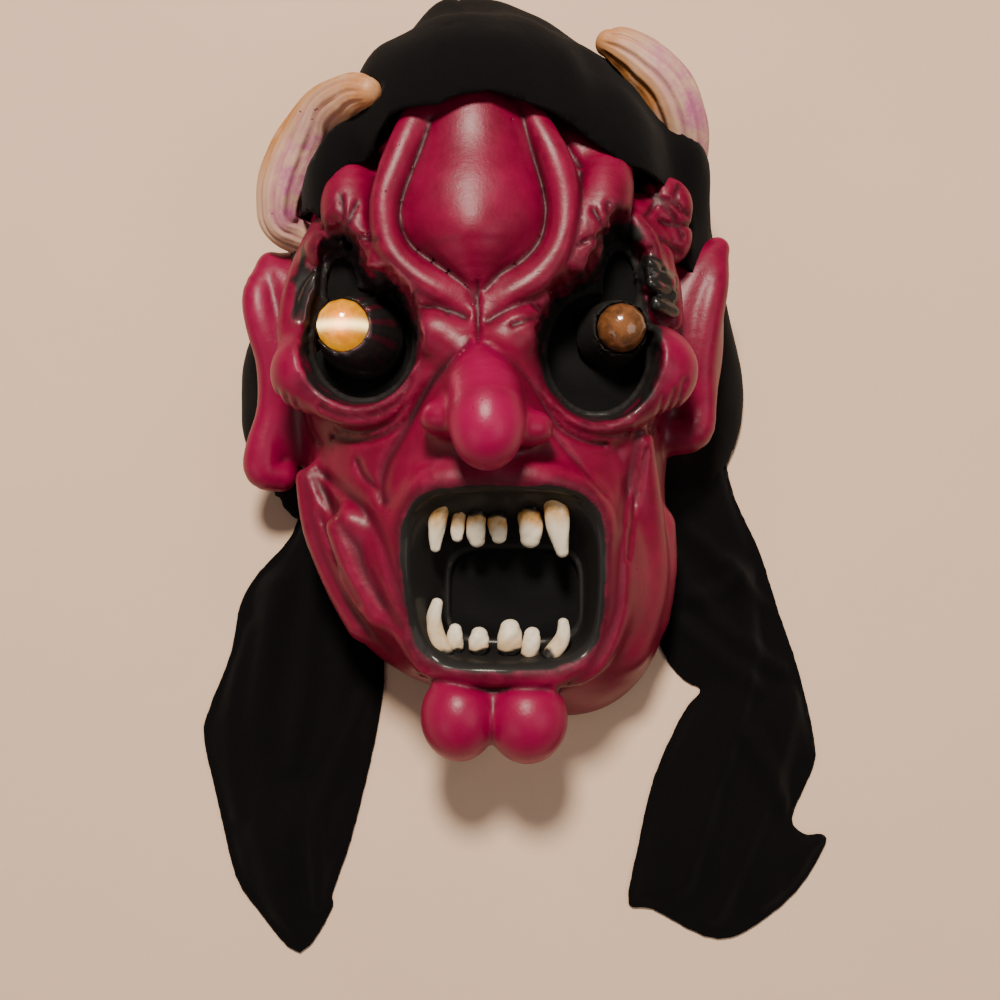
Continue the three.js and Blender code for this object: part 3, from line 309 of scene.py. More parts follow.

# Lines drawn on the face: points, half width, depth, and how much darker the face is made along them
GROOVES = [
    ([(-20, 123), (-30, 96.5), (-33, 83), (-29, 73), (-20, 66), (-10.6, 59), (-4.7, 54), (-2.8, 48)],
     1.6, 0.9, 0.5),
    ([(14.8, 128), (21, 108), (24.6, 92.6), (25, 83), (22, 73), (15.6, 66), (7, 60.5), (1, 54)],
     1.6, 0.9, 0.5),
    ([(-43.4, 103), (-45, 89.6), (-43.5, 73.8), (-35, 61), (-20.6, 50), (-6.8, 43)], 1.8, 1.2, 0.5),
    ([(39.7, 103), (38.5, 85.7), (35, 68), (27, 54), (13, 47.5), (2.3, 41)], 1.8, 1.2, 0.5),
    ([(-2, 56), (-1.6, 43), (-1.3, 32)], 1.2, 1.6, 0.6),
    ([(26, 129), (33, 117.5), (40, 106)], 1.4, 1.1, 0.4),
    ([(-5.5, 31), (-19, 18), (-26, 8), (-33, -5.5), (-38, -14), (-40, -23), (-39, -29)], 2.6, 1.9, 0.6),
    ([(-51, -13), (-48, -19), (-42, -24), (-38, -29)], 1.7, 1.4, 0.4),
    ([(-62, -2), (-50, -4.5), (-38.5, -2), (-29, 4)], 1.6, 1.5, 0.4),
    ([(1.8, 30.6), (15, 21), (24, 9.4), (31, 0), (41, -5), (49, -6)], 1.6, 1.4, 0.35),
    ([(26, 0), (35, -11), (43, -20), (49, -26)], 1.3, 0.8, 0.2),
    ([(64, -2), (62, -13), (58, -28), (55, -44), (54, -62), (53, -74), (48, -88), (42, -97), (31.5, -104)],
     2.6, 1.7, 0.5),
    ([(67, -8), (63, -24), (60, -40), (58, -52)], 1.4, 1.2, 0.3),
    ([(-76, -12), (-74.4, -23.7), (-71.9, -37.2), (-66.9, -52.1), (-58.3, -68.2), (-49.7, -79.2), (-38, -91)],
     2.8, 1.3, 0.4),
    ([(-72.6, -17.5), (-62, -32.3), (-50.9, -47.2), (-47.3, -57), (-39.7, -69.4), (-32.3, -79.2)],
     3.0, 1.7, 0.5),
    ([(-70.6, -16.2), (-58.3, -23.7), (-47.3, -32.3), (-39.7, -44.5), (-33.6, -62), (-29.8, -74.3),
      (-20, -96)], 2.6, 1.4, 0.45),
    ([(-69, -34), (-62, -50), (-55, -62), (-50, -71)], 1.8, 1.2, 0.3),
    ([(-45, -57), (-40, -67), (-34, -75)], 1.6, 1.3, 0.4),
    ([(-28.5, 19), (-33, 11), (-43, 5.5), (-55.5, 5), (-65, 9)], 1.4, 1.3, 0.6),
    ([(-30, 9.7), (-37, 2), (-47.5, -1), (-60, 0)], 1.5, 1.2, 0.3),
    ([(28, 7), (36, 0), (47, -3), (59, -1)], 1.5, 1.2, 0.3),
    ([(27, 22), (31, 11), (38, 4.5), (47, 2), (59, 5)], 1.4, 1.3, 0.6),
    ([(-84, 16), (-82, 7), (-77, -1)], 1.1, 1.1, 0.3),
    ([(-80, 14), (-78, 5), (-73, -3)], 1.1, 1.1, 0.3),
    ([(-76, 12), (-74, 3), (-69, -5)], 1.0, 0.9, 0.3),
    ([(82, 20), (79, 10), (75, 2)], 1.1, 1.1, 0.3),
    ([(78, 16), (75, 7), (71, -1)], 1.1, 1.1, 0.3),
    ([(73, 13), (71, 5), (67, -3)], 1.0, 0.9, 0.3),
    ([(-26, -100), (-14, -100.5), (-4, -103), (4, -104.5), (14, -103), (26, -103.5)], 1.8, 1.4, 0.35),
]
CRACKS = [
    [(44.1, 85.8), (48.6, 77.7)], [(49.8, 89), (49.4, 77)], [(37.5, 72), (47.8, 76.5)],
    [(60.8, 85.4), (60.8, 74)], [(68.6, 74.5), (62.4, 70.3)], [(64.8, 66.2), (73.9, 66.4)],
    [(64.4, 57.5), (77.9, 56.3)], [(-56.7, 93.7), (-55, 80)], [(-50.4, 90.4), (-54.4, 80.5)],
    [(-56, 77.7), (-49, 76.5), (-41.7, 73.5)], [(-64.5, 75.3), (-57.7, 76.5)], [(-30.6, 46.2), (-26.1, 53.5)],
    [(-28.2, 47.4), (-17.2, 47), (-13, 44.5)], [(11.9, 39.3), (23.2, 43.3)], [(20.3, 48.2), (26, 42.9)],
    [(-66, 84), (-62, 78)], [(63, 104), (72, 98), (80, 90), (84, 82)], [(72, 106), (73, 98), (68, 90)],
    [(82, 104), (80, 96), (86, 92)], [(80, 96), (72, 98)], [(74, 88), (80, 87), (88, 88)],
    [(74, 80), (83, 76)],
]
LINES = [(Path(points), width, depth, dark) for points, width, depth, dark in GROOVES]
LINES += [(Path(points, 2), 1.15, 1.4, 1.1) for points in CRACKS]


# Forms in the order in which they are laid on the skull, and how softly each runs into those before it
UNDER_DROP = (([MUZZLE], 20), ([TEMPLE], 14), (CHEEK_BALLS, 7), (JAW_ROLLS, 6), (BROWS, 8))
OVER_DROP = ((TUBES, 5.5), (INNER_EYES, 4), (LOWER_LIDS, 7), (SOCKET_LIPS, 4))
OVER_NOSE = (([UPPER_LIP, LOWER_LIP], 7), (CHIN_BALLS, 3.5))
FINE_FORMS = ((SMALL_ROLLS, 2), (SCALY_ROOT, 3))


def add_forms(f, p, layers):
    for forms, k in layers:
        for form in forms:
            f = add_roll(f, p, form, k) if isinstance(form, Path) else join(f, ball(p, *form), k)
    return f


def ellipse(p, shape):
    cu, cv, ru, rv = shape
    return (np.hypot((p[:, 0] - cu) / ru, (p[:, 1] - cv) / rv) - 1) * min(ru, rv)


def square_side(p, centre, half, scale):
    """About the distance in the face's plane to a square with round corners."""
    x = np.abs(p[:, 0] - centre[0]) / half[0]
    y = np.abs(p[:, 1] - centre[1]) / half[1]
    return ((x**4 + y**4) ** 0.25 - 1) * scale


def panel_side(p, more):
    """The same for the panel behind the mouth, made wider by so much."""
    return square_side(p, MOUTH_PANEL_CENTRE, [h + more for h in MOUTH_PANEL_HALF], MOUTH_PANEL_HALF[1])


def mouth_side(p):
    t = np.clip((p[:, 2] - MOUTH_PANEL_DEPTH) / LIP_RISE, 0, 1)
    at = [MOUTH_PANEL_CENTRE[i] + t * (MOUTH_CENTRE[i] - MOUTH_PANEL_CENTRE[i]) for i in (0, 1)]
    half = [MOUTH_PANEL_HALF[i] + t * (MOUTH_HALF[i] - MOUTH_PANEL_HALF[i]) for i in (0, 1)]
    return square_side(p, at, half, np.minimum(half[0], half[1])) * 0.85


def mouth_funnel(p):
    return np.maximum(mouth_side(p), MOUTH_PANEL_DEPTH - p[:, 2])


def eye_opening(p, eye):
    return np.minimum(ellipse(p, eye["socket"]), ellipse(p, eye["slit"]))


def eye_side(p, eye):
    return join(ellipse(p, eye["socket"]), ellipse(p, eye["slit"]), 6)


def eye_pocket(p, eye):
    return np.maximum(eye_side(p, eye) - 0.12 * (p[:, 2] - EYE_FLOOR), EYE_FLOOR - p[:, 2])


def head_core(p):
    f = ball(p, *SKULL[0][:2])
    for centre, radii, k in SKULL[1:]:
        f = join(f, ball(p, centre, radii), k)
    return f


def groove_depth(p, f):
    """How deep the lines of the face lie at each point near the skin."""
    deep = np.zeros(len(p))
    for path, width, depth, _ in LINES:
        near = np.linalg.norm(p[:, :2] - path.hub[:2], axis=1) < path.reach + 3 * width
        near[near] &= np.abs(f[near]) < GROOVE_BAND
        line = depth * np.exp(-line_distance(p[near], path) / width**2)
        deep[near] = np.maximum(deep[near], line)
    return deep


def face(p, ears=True, fine=True, carved=True):
    """Signed distance to the mask's outer skin, without horns and teeth."""
    f = add_forms(head_core(p), p, UNDER_DROP)
    drop = join(ball(p, *BROW_DROP[0]), ball(p, *BROW_DROP[1]), 14)
    f = join(f, add_roll(drop, p, BROW_DROP_TIP, 12), 5)
    f = add_forms(f, p, OVER_DROP)
    nose = join(ball(p, *NOSE_ROOT), roll_distance(p, NOSE_BRIDGE), 11)
    f = join(f, add_forms(nose, p, [(NOSE_BALLS, 5)]), 10)
    f = add_forms(f, p, OVER_NOSE)
    if ears:
        for rim, web in EARS:
            f = add_forms(f, p, [([web], 9), ([rim], 4)])
    if fine:
        f = add_forms(f, p, FINE_FORMS)
        f = f + ramp(p[:, 2], *FRONT) * GROOVE_LIMIT * np.tanh(groove_depth(p, f) / GROOVE_LIMIT)
    if not carved:
        return f
    for eye in EYES:
        ragged = 1.3 * ripple(p * (1, 1, 0.3), 11, 51) + 0.5 * ripple(p * (1, 1, 0.3), 4, 52) if fine else 0
        f = carve(f, eye_pocket(p, eye) + ragged * ramp(p[:, 1], 10, 50), 2.5 if fine else 4)
    if fine:
        for path, eye in zip(SLEEVES, EYES):
            f = add_roll(f, p, path, 2.5)
            u, v, _ = eye["dome"]
            bore = np.hypot(p[:, 0] - u, p[:, 1] - v) - (eye["radius"] + BORE_GAP)
            f = np.maximum(f, -np.maximum(bore, EYE_FLOOR + 1 - p[:, 2]))
    return carve(f, mouth_funnel(p), 4)


def latex(p):
    """Signed distance to the whole latex wall, with holes to the cloth behind eyes and mouth."""
    hollow = np.maximum(face(p, ears=False, fine=False), head_core(p) - HOLLOW_REACH) + LATEX_WALL
    wall = np.maximum(face(p), -hollow)
    holes = [(eye_opening(p, eye) + HOLE_EDGE, SCRIM_BACK, EYE_FLOOR) for eye in EYES]
    holes.append((panel_side(p, -HOLE_EDGE), MOUTH_BACK, MOUTH_PANEL_DEPTH))
    for side, back, front in holes:
        hole = np.maximum(side, np.maximum(back - 4 - p[:, 2], p[:, 2] - front - 1))
        wall = np.maximum(wall, -hole)
    return np.maximum(wall, RIM_ABOVE_TABLE - height(p))


# Turning a signed distance into a mesh


def banded(field, low, high, step, ratio=4):
    """The field on a fine grid, worked out exactly only near the surface."""
    low, high = np.array(low, float), np.array(high, float)
    cells = np.ceil((high - low) / (step * ratio)).astype(int)
    axes = [low[c] + step * ratio * np.arange(cells[c] + 1) for c in range(3)]
    spots = np.stack(np.meshgrid(*axes, indexing="ij"), -1).reshape(-1, 3)
    rough = field(spots).reshape(cells + 1)
    blocks = np.stack([
        rough[i : i + cells[0], j : j + cells[1], k : k + cells[2]]
        for i in (0, 1) for j in (0, 1) for k in (0, 1)
    ])
    near = np.abs(blocks).min(0) < 1.05 * step * ratio
    near |= (blocks < 0).any(0) & (blocks > 0).any(0)
    fine = cells * ratio + 1
    values = np.zeros(fine)
    wanted = np.zeros(fine, bool)
    for c, full in ((blocks.mean(0), values), (near, wanted)):
        grown = c.repeat(ratio, 0).repeat(ratio, 1).repeat(ratio, 2)
        full[:-1, :-1, :-1] = grown
        full[-1], full[:, -1], full[:, :, -1] = full[-2], full[:, -2], full[:, :, -2]
    spread = wanted.copy()
    for axis in range(3):
        spread |= np.roll(spread, 1, axis)
    at = np.argwhere(spread)
    values[tuple(at.T)] = field(low + at * step)
    return values, low


def net(values, low, step):
    """Surface nets: one point in each mixed cell, one square across each crossed edge."""
    n = np.array(values.shape) - 1
    corners = [(i, j, k) for i in (0, 1) for j in (0, 1) for k in (0, 1)]
    inside = values < 0
    count = sum(inside[i : i + n[0], j : j + n[1], k : k + n[2]].astype(np.int8) for i, j, k in corners)
    cells = np.argwhere((count > 0) & (count < 8))
    total = np.zeros((len(cells), 3))
    hits = np.zeros(len(cells))
    for axis in range(3):
        for corner in corners:
            if corner[axis]:
                continue
            a = cells + corner
            b = a.copy()
            b[:, axis] += 1
            fa, fb = values[tuple(a.T)], values[tuple(b.T)]
            cut = (fa < 0) != (fb < 0)
            t = fa[cut] / (fa[cut] - fb[cut])
            spot = a[cut].astype(float)
            spot[:, axis] += t
            total[cut] += spot
            hits[cut] += 1
    number = np.full(n, -1)
    number[tuple(cells.T)] = np.arange(len(cells))
    quads = []
    for axis in range(3):
        side, other = (axis + 1) % 3, (axis + 2) % 3
        start = [slice(None)] * 3
        stop = [slice(None)] * 3
        start[axis], stop[axis] = slice(0, -1), slice(1, None)
        cut = np.argwhere(inside[tuple(start)] != inside[tuple(stop)])
        cut = cut[(cut[:, side] > 0) & (cut[:, other] > 0)]
        cut = cut[(cut[:, side] < n[side]) & (cut[:, other] < n[other])]
        ring = []
        for back_side, back_other in ((1, 1), (0, 1), (0, 0), (1, 0)):
            cell = cut.copy()
            cell[:, side] -= back_side
            cell[:, other] -= back_other
            ring.append(number[tuple(cell.T)])
        ring = np.stack(ring, 1)
        flip = ~inside[tuple(cut.T)]
        ring[flip] = ring[flip][:, ::-1]
        quads.append(ring)
    return low + step * total / hits[:, None], np.concatenate(quads)


def smoothed(points, quads, share, turns=1):
    """Each point drawn towards the middle of its neighbours."""
    ends = np.concatenate([quads[:, [i, (i + 1) % quads.shape[1]]] for i in range(quads.shape[1])])
    ends = np.concatenate([ends, ends[:, ::-1]])
    degree = np.maximum(np.bincount(ends[:, 0], minlength=len(points)), 1)
    for _ in range(turns):
        pulled = np.stack([
            np.bincount(ends[:, 0], weights=points[ends[:, 1], c], minlength=len(points)) for c in range(3)
        ], 1)
        points = points + share * (pulled / degree[:, None] - points)
    return points


def settled(field, points, turns=2, most=1.0):
    """Each point moved onto the surface by small steps."""
    e = 0.25
    for _ in range(turns):
        slope = np.stack([
            (field(points + e * axis) - field(points - e * axis)) / (2 * e) for axis in np.eye(3)
        ], 1)
        size = np.maximum((slope**2).sum(1), 0.3)
        reach = np.clip(field(points) / size, -most, most)
        points = points - reach[:, None] * slope
    return points


def skinned(field, low, high, step):
    values, start = banded(field, low, high, step)
    points, quads = net(values, start, step)
    points = smoothed(points, quads, 0.5)
    return settled(field, points), quads


def normals_of(points, quads):
    across = np.cross(points[quads[:, 2]] - points[quads[:, 0]], points[quads[:, 3]] - points[quads[:, 1]])
    total = np.stack([
        sum(np.bincount(quads[:, i], weights=across[:, c], minlength=len(points)) for i in range(4))
        for c in range(3)
    ], 1)
    return total / np.maximum(np.linalg.norm(total, axis=1), 1e-12)[:, None]


def triangles_of(quads):
    return np.concatenate([quads[:, [0, 1, 2]], quads[:, [0, 2, 3]]])


def trimmed(points, triangles, keep):
    """The part of a surface where keep is above zero, cut cleanly along its edge."""
    inside = keep > 0
    count = inside[triangles].sum(1)
    out = [triangles[count == 3]]
    points = list(points)
    seen = {}

    def between(a, b):
        key = (min(a, b), max(a, b))
        if key not in seen:
            t = keep[a] / (keep[a] - keep[b])
            seen[key] = len(points)
            points.append(points[a] + t * (points[b] - points[a]))
        return seen[key]

    extra = []
    for tri in triangles[(count == 1) | (count == 2)]:
        odd = inside[tri].sum() == 1
        turn = int(np.argmax(inside[tri] == odd))
        a, b, c = (int(tri[(turn + i) % 3]) for i in range(3))
        ab, ac = between(a, b), between(a, c)
        extra += [(a, ab, ac)] if odd else [(ab, b, c), (ab, c, ac)]
    out.append(np.array(extra, int).reshape(-1, 3))
    triangles = np.concatenate(out)
    used, triangles = np.unique(triangles, return_inverse=True)
    return np.array(points)[used], triangles.reshape(-1, 3)


# Blender helpers


def new_object(name, row_points, faces, material, values=None, smooth=True):
    """A mesh piece, with per-point paint masks as colour attributes."""
    mesh = bpy.data.meshes.new(name)
    mesh.from_pydata(np.asarray(row_points).tolist(), [], [[int(i) for i in face] for face in faces])
    mesh.update()
    if smooth:
        mesh.shade_smooth()
    for key, data in (values or {}).items():
        layer = mesh.color_attributes.new(key, "FLOAT_COLOR", "POINT")
        filled = np.ones((len(mesh.vertices), 4))
        filled[:, : data.shape[1]] = data
        layer.data.foreach_set("color", filled.ravel())
    mesh.materials.append(material)
    return placed(name, mesh)


def placed(name, data):
    thing = bpy.data.objects.new(name, data)
    bpy.context.scene.collection.objects.link(thing)
    return thing


def thickened(piece, wall):
    """Gives cloth its thickness, inwards, with the modifier applied."""
    solidify = piece.modifiers.new("Thickness", "SOLIDIFY")
    solidify.thickness = wall
    solidify.offset = -1.0
    bpy.context.view_layer.objects.active = piece
    for other in bpy.context.selected_objects:
        other.select_set(False)
    piece.select_set(True)
    bpy.ops.object.modifier_apply(modifier=solidify.name)


def thinned(piece, inside, most):
    """Merges triangles, those of the unseen inside first, until at most so many are left."""
    mesh = piece.data
    count = sum(len(face.vertices) - 2 for face in mesh.polygons)
    if count <= most:
        return
    hidden = piece.vertex_groups.new(name="inside")
    hidden.add([int(i) for i in np.flatnonzero(inside)], 1.0, "REPLACE")
    hidden.add([int(i) for i in np.flatnonzero(~inside)], OUTSIDE_WEIGHT, "REPLACE")
    step = piece.modifiers.new("thin", "DECIMATE")
    step.ratio = most / count
    step.use_collapse_triangulate = True
    step.vertex_group = hidden.name
    bpy.context.view_layer.update()
    shape = piece.evaluated_get(bpy.context.evaluated_depsgraph_get())
    piece.data = bpy.data.meshes.new_from_object(shape)
    piece.modifiers.clear()
    piece.vertex_groups.clear()


class Nodes:
    """Short calls for adding and linking a material's or a group's nodes."""

    def __init__(self, tree):
        self.tree = tree

    def add(self, kind, values=None, **options):
        node = self.tree.nodes.new(kind)
        for key, value in options.items():
            setattr(node, key, value)
        for key, value in (values or {}).items():
            self.put(node.inputs[key], value)
        return node

    def put(self, socket, value):
        if isinstance(value, bpy.types.NodeSocket):
            self.tree.links.new(value, socket)
        else:
            socket.default_value = value

    def math(self, operation, a, b=0.0, clamp=False):
        return self.add("ShaderNodeMath", {0: a, 1: b}, operation=operation, use_clamp=clamp).outputs[0]

    def times(self, a, b, clamp=False):
        return self.math("MULTIPLY", a, b, clamp)

    def plus(self, a, b):
        return self.math("ADD", a, b)

    def mix(self, share, a, b):
        """One colour over another, each a socket or a red, green and blue."""
        node = self.add("ShaderNodeMix", {0: share}, data_type="RGBA")
        for index, value in ((6, a), (7, b)):
            self.put(node.inputs[index], value if isinstance(value, bpy.types.NodeSocket) else (*value, 1.0))
        return node.outputs[2]

    def layers(self, base, *layers):
        """Colours laid over a base one after the other, each with its share."""
        for share, tone in layers:
            base = self.mix(share, base, tone)
        return base

    def masks(self, attribute):
        stored = self.add("ShaderNodeAttribute", attribute_name=attribute).outputs["Color"]
        return self.add("ShaderNodeSeparateColor", {0: stored}).outputs

    def noise(self, where, scale, detail=4.0, roughness=0.55, distortion=0.0):
        values = {"Vector": where, "Scale": scale, "Detail": detail, "Roughness": roughness,
                  "Distortion": distortion}
        return self.add("ShaderNodeTexNoise", values).outputs["Fac"]

    def dots(self, where, scale, low, high):
        cells = self.add("ShaderNodeTexVoronoi", {"Vector": where, "Scale": scale, "Randomness": 1.0})
        return self.spread(cells.outputs["Distance"], low, high, 1.0, 0.0)

    def spread(self, value, low, high, to_low=0.0, to_high=1.0):
        values = {"Value": value, "From Min": low, "From Max": high, "To Min": to_low, "To Max": to_high}
        return self.add("ShaderNodeMapRange", values).outputs["Result"]


def group(name, inputs, outputs):
    """A new shader group with named sockets: (name, type, default)."""
    tree = bpy.data.node_groups.new(name, "ShaderNodeTree")
    for label, kind, default in inputs:
        socket = tree.interface.new_socket(label, in_out="INPUT", socket_type=kind)
        if default is not None:
            socket.default_value = default
    for label, kind in outputs:
        tree.interface.new_socket(label, in_out="OUTPUT", socket_type=kind)
    n = Nodes(tree)
    return tree, n, n.add("NodeGroupInput"), n.add("NodeGroupOutput")


def material(name):
    """A new material, its nodes, its surface shader and the place on the piece."""
    made = bpy.data.materials.new(name)
    made.use_nodes = True
    made.node_tree.nodes.clear()
    n = Nodes(made.node_tree)
    shader = n.add("ShaderNodeBsdfPrincipled")
    n.add("ShaderNodeOutputMaterial", {"Surface": shader.outputs[0]})
    return made, n, shader, n.add("ShaderNodeTexCoord").outputs["Object"]


def dress(n, shader, relief, values):
    """Gives the shader its values and its fine relief: height, distance and strength."""
    bump = n.add("ShaderNodeBump", dict(zip(("Height", "Distance", "Strength"), relief)))
    for label, value in {**values, "Normal": bump.outputs["Normal"]}.items():
        n.put(shader.inputs[label], value)


def cast_surface_group():
    """Fine relief and tone of cast, painted latex: soft mottling, dust, pores and pinholes."""
    inputs = [("Position", "NodeSocketVector", None), ("Mottle Scale", "NodeSocketFloat", 90.0),
              ("Pit Amount", "NodeSocketFloat", 0.5)]
    outputs = [(label, "NodeSocketFloat") for label in ("Mottle", "Pits", "Height", "Speckle")]
    tree, n, start, end = group("Cast Surface", inputs, outputs)
    where = start.outputs["Position"]
    mottle = n.noise(where, start.outputs["Mottle Scale"], 5.0, 0.6)
    wide = n.noise(where, 22.0, 3.0, 0.5)
    n.put(end.inputs["Mottle"], n.plus(n.times(mottle, 0.5), n.times(wide, 0.5)))
    chance = n.spread(n.noise(where, 60.0, 2.0), 0.6, 0.66)
    pits = n.times(n.times(n.dots(where, 260.0, 0.06, 0.16), chance), start.outputs["Pit Amount"])
    n.put(end.inputs["Pits"], pits)
    grain = n.noise(where, 900.0, 3.0, 0.6)
    pores = n.noise(where, 320.0, 4.0, 0.65)
    relief = n.plus(n.plus(n.times(grain, 0.18), n.times(pores, 0.4)), n.times(mottle, 0.6))
    n.put(end.inputs["Height"], n.math("SUBTRACT", relief, n.times(pits, 1.2)))
    dusty = n.spread(n.noise(where, 45.0, 2.0), 0.52, 0.62)
    n.put(end.inputs["Speckle"], n.times(n.dots(where, 420.0, 0.05, 0.11), dusty))
    return tree


def weave_group():
    """Crossing threads of a fine cloth, with the loose fuzz and wrinkling of a worn piece."""
    inputs = [("Position", "NodeSocketVector", None), ("Threads per Metre", "NodeSocketFloat", 1500.0),
              ("Crumple", "NodeSocketFloat", 0.5)]
    outputs = [(label, "NodeSocketFloat") for label in ("Height", "Thread", "Fuzz")]
    tree, n, start, end = group("Weave", inputs, outputs)
    where, pitch = start.outputs["Position"], start.outputs["Threads per Metre"]
    split = n.add("ShaderNodeSeparateXYZ", {0: where})
    waves = []
    for axis, bend in (("X", 260.0), ("Y", 210.0)):
        along = n.plus(split.outputs[axis], n.times(split.outputs["Z"], 0.7))
        along = n.plus(along, n.times(n.noise(where, bend, 2.0), 0.0006))
        waves.append(n.math("ABSOLUTE", n.math("SINE", n.times(n.times(along, pitch), 6.283))))
    thread = n.times(n.plus(*waves), 0.5)
    n.put(end.inputs["Thread"], thread)
    fuzz = n.noise(where, 1400.0, 3.0, 0.7)
    n.put(end.inputs["Fuzz"], fuzz)
    crumple = n.times(n.noise(where, 75.0, 5.0, 0.6, 0.6), n.times(start.outputs["Crumple"], 6.0))
    n.put(end.inputs["Height"], n.plus(n.plus(n.times(thread, 0.35), n.times(fuzz, 0.35)), crumple))
    return tree


def cast_surface(n, where, scale, pits):
    tree = bpy.data.node_groups.get("Cast Surface") or cast_surface_group()
    values = {"Position": where, "Mottle Scale": scale, "Pit Amount": pits}
    return n.add("ShaderNodeGroup", values, node_tree=tree).outputs


def weave(n, where, threads, crumple):
    tree = bpy.data.node_groups.get("Weave") or weave_group()
    values = {"Position": where, "Threads per Metre": threads, "Crumple": crumple}
    return n.add("ShaderNodeGroup", values, node_tree=tree).outputs


def latex_material(colours):
    """Crimson latex with airbrushed black eyes and mouth, darker drawn lines, painted shade in the hollows,
    and a painted highlight on the ridges.
    """
    made, n, shader, where = material("Painted Latex")
    cast = cast_surface(n, where, 110.0, 0.6)
    mottle = cast["Mottle"]
    black, crease, bright = n.masks("paint")
    highlight_and_speck, bare, gloss = n.masks("finish")
    patchy = n.spread(n.noise(where, 150.0, 5.0, 0.7), 0.45, 0.7, 0.0, 0.35)
    soft = n.times(n.math("SUBTRACT", n.noise(where, 500.0, 4.0, 0.7), 0.5), 0.35)
    base = n.layers(
        n.mix(n.spread(mottle, 0.36, 0.64), colours.latex_dark, colours.latex),
        (n.times(bright, 0.9), colours.latex_bright),
        # Dark crimson along the drawn lines and in the airbrushed haze, and painted shade in the hollows
        (n.times(crease, n.spread(mottle, 0.3, 0.6, 0.75, 1.05), True), colours.crease),
        # Painted highlight on the ridges, in patches
        (n.times(highlight_and_speck, patchy, True), colours.highlight_and_speck),
        # Dust specks in the same pale colour
        (n.times(cast["Speckle"], 0.35), colours.highlight_and_speck),
        (n.spread(n.plus(black, soft), 0.25, 0.75), colours.black_paint),
        (bare, colours.bare_latex),
        (n.times(cast["Pits"], 0.7), colours.crease),
    )
    rough = n.plus(n.spread(mottle, 0.3, 0.7, 0.34, 0.47), n.times(crease, 0.1))
    rough = n.math("SUBTRACT", n.plus(rough, n.times(black, 0.3)), n.times(gloss, 0.16))
    dress(n, shader, (cast["Height"], 0.00035, 0.75), {
        "Base Color": base,
        "Roughness": n.plus(rough, n.times(bare, 0.3)),
        "Coat Weight": n.times(gloss, 0.7),
        "Coat Roughness": 0.16,
        "Specular IOR Level": 0.34,
    })
    return made


def horn_material(colours):
    """Cream horn, lilac in its grooves, scorched tan along its outer edge and tip."""
    made, n, shader, where = material("Horn Paint")
    cast = cast_surface(n, where, 140.0, 0.9)
    groove, edge, lilac = n.masks("paint")
    streak = n.spread(n.noise(where, 120.0, 5.0, 0.7), 0.35, 0.65)
    scorched = n.spread(n.noise(where, 90.0, 5.0, 0.65), 0.22, 0.5)
    base = n.layers(
        colours.horn,
        (n.times(lilac, streak), colours.horn_lilac),
        (n.times(groove, 0.75), colours.horn_groove),
        (n.times(edge, scorched, True), colours.horn_edge),
        (n.times(cast["Pits"], 0.8), colours.crease),
    )
    rough = n.spread(cast["Mottle"], 0.3, 0.7, 0.42, 0.6)
    dress(n, shader, (cast["Height"], 0.0004, 0.8), {"Base Color": base, "Roughness": rough})
    return made


def tooth_material(colours):
    """Chalky white teeth with ochre roots."""
    made, n, shader, where = material("Tooth Paint")
    cast = cast_surface(n, where, 260.0, 0.8)
    root, sunk, _ = n.masks("paint")
    patch = n.spread(n.noise(where, 260.0, 4.0, 0.65), 0.38, 0.6)
    grime = n.spread(n.noise(where, 420.0, 5.0, 0.7), 0.62, 0.74)
    base = n.layers(
        colours.tooth,
        (n.times(root, n.spread(patch, 0.0, 1.0, 0.55, 1.0), True), colours.tooth_root),
        (n.times(grime, root), colours.tooth_grime),
        (sunk, colours.black_paint),
    )
    dress(n, shader, (cast["Height"], 0.0005, 0.8), {
        "Base Color": base,
        "Roughness": n.spread(cast["Mottle"], 0.3, 0.7, 0.34, 0.52),
        "Subsurface Weight": 0.08,
        "Subsurface Radius": (0.002, 0.0012, 0.0008),
    })
    return made


def scaled(tone, share):
    return [min(1.0, share * c) for c in tone]


def cloth_material(name, tone, threads, crumple):
    """Matte black cloth: thread relief, lint and a little sheen."""
    made, n, shader, where = material(name)
    cloth = weave(n, where, threads, crumple)
    lint = n.spread(n.noise(where, 700.0, 4.0, 0.75), 0.62, 0.74)
    dress(n, shader, (cloth["Height"], 0.00022, 0.6), {
        "Base Color": n.layers(
            n.mix(cloth["Thread"], scaled(tone, 0.55), tone),
            (n.times(lint, 0.25), scaled(tone, 3.2)),
        ),
        "Roughness": n.spread(cloth["Fuzz"], 0.3, 0.7, 0.86, 1.0),
        "Specular IOR Level": 0.08,
        "Sheen Weight": 0.038,
        "Sheen Roughness": 0.5,
    })
    return made


def lens_material(name, tone, glow, strength, seed):
    """Moulded amber lens with clouded bands and a painted highlight on its top; the lit one glows, white in
    the middle.
    """
    made, n, shader, where = material(name)
    moved = n.add("ShaderNodeVectorMath", {0: where, 1: (seed, 0.0, 0.0)}, operation="ADD").outputs[0]
    cloud = n.spread(n.noise(moved, 170.0, 4.0, 0.6, 1.2), 0.35, 0.65)
    core, rim, band = n.masks("paint")
    looks = {
        "Base Color": n.layers(
            n.mix(cloud, scaled(tone, 0.42), tone),
            # Painted highlight: the top of the dome lighter
            (n.times(core, 0.35), scaled(tone, 1.9)),
            (n.times(rim, 0.6), scaled(tone, 0.25)),
        ),
        "Roughness": n.spread(cloud, 0.0, 1.0, 0.08, 0.2),
        "Coat Weight": 0.6,
        "Coat Roughness": 0.06,
    }
    if strength:
        looks["Emission Color"] = n.layers(
            glow,
            (n.times(cloud, 0.6), (1.0, 0.5, 0.0)),
            (n.times(band, band), (5.0, 3.6, 1.4)),
            (n.times(rim, 0.85), (0.5, 0.12, 0.01)),
        )
        looks["Emission Strength"] = strength
    for label, value in looks.items():
        n.put(shader.inputs[label], value)
    return made


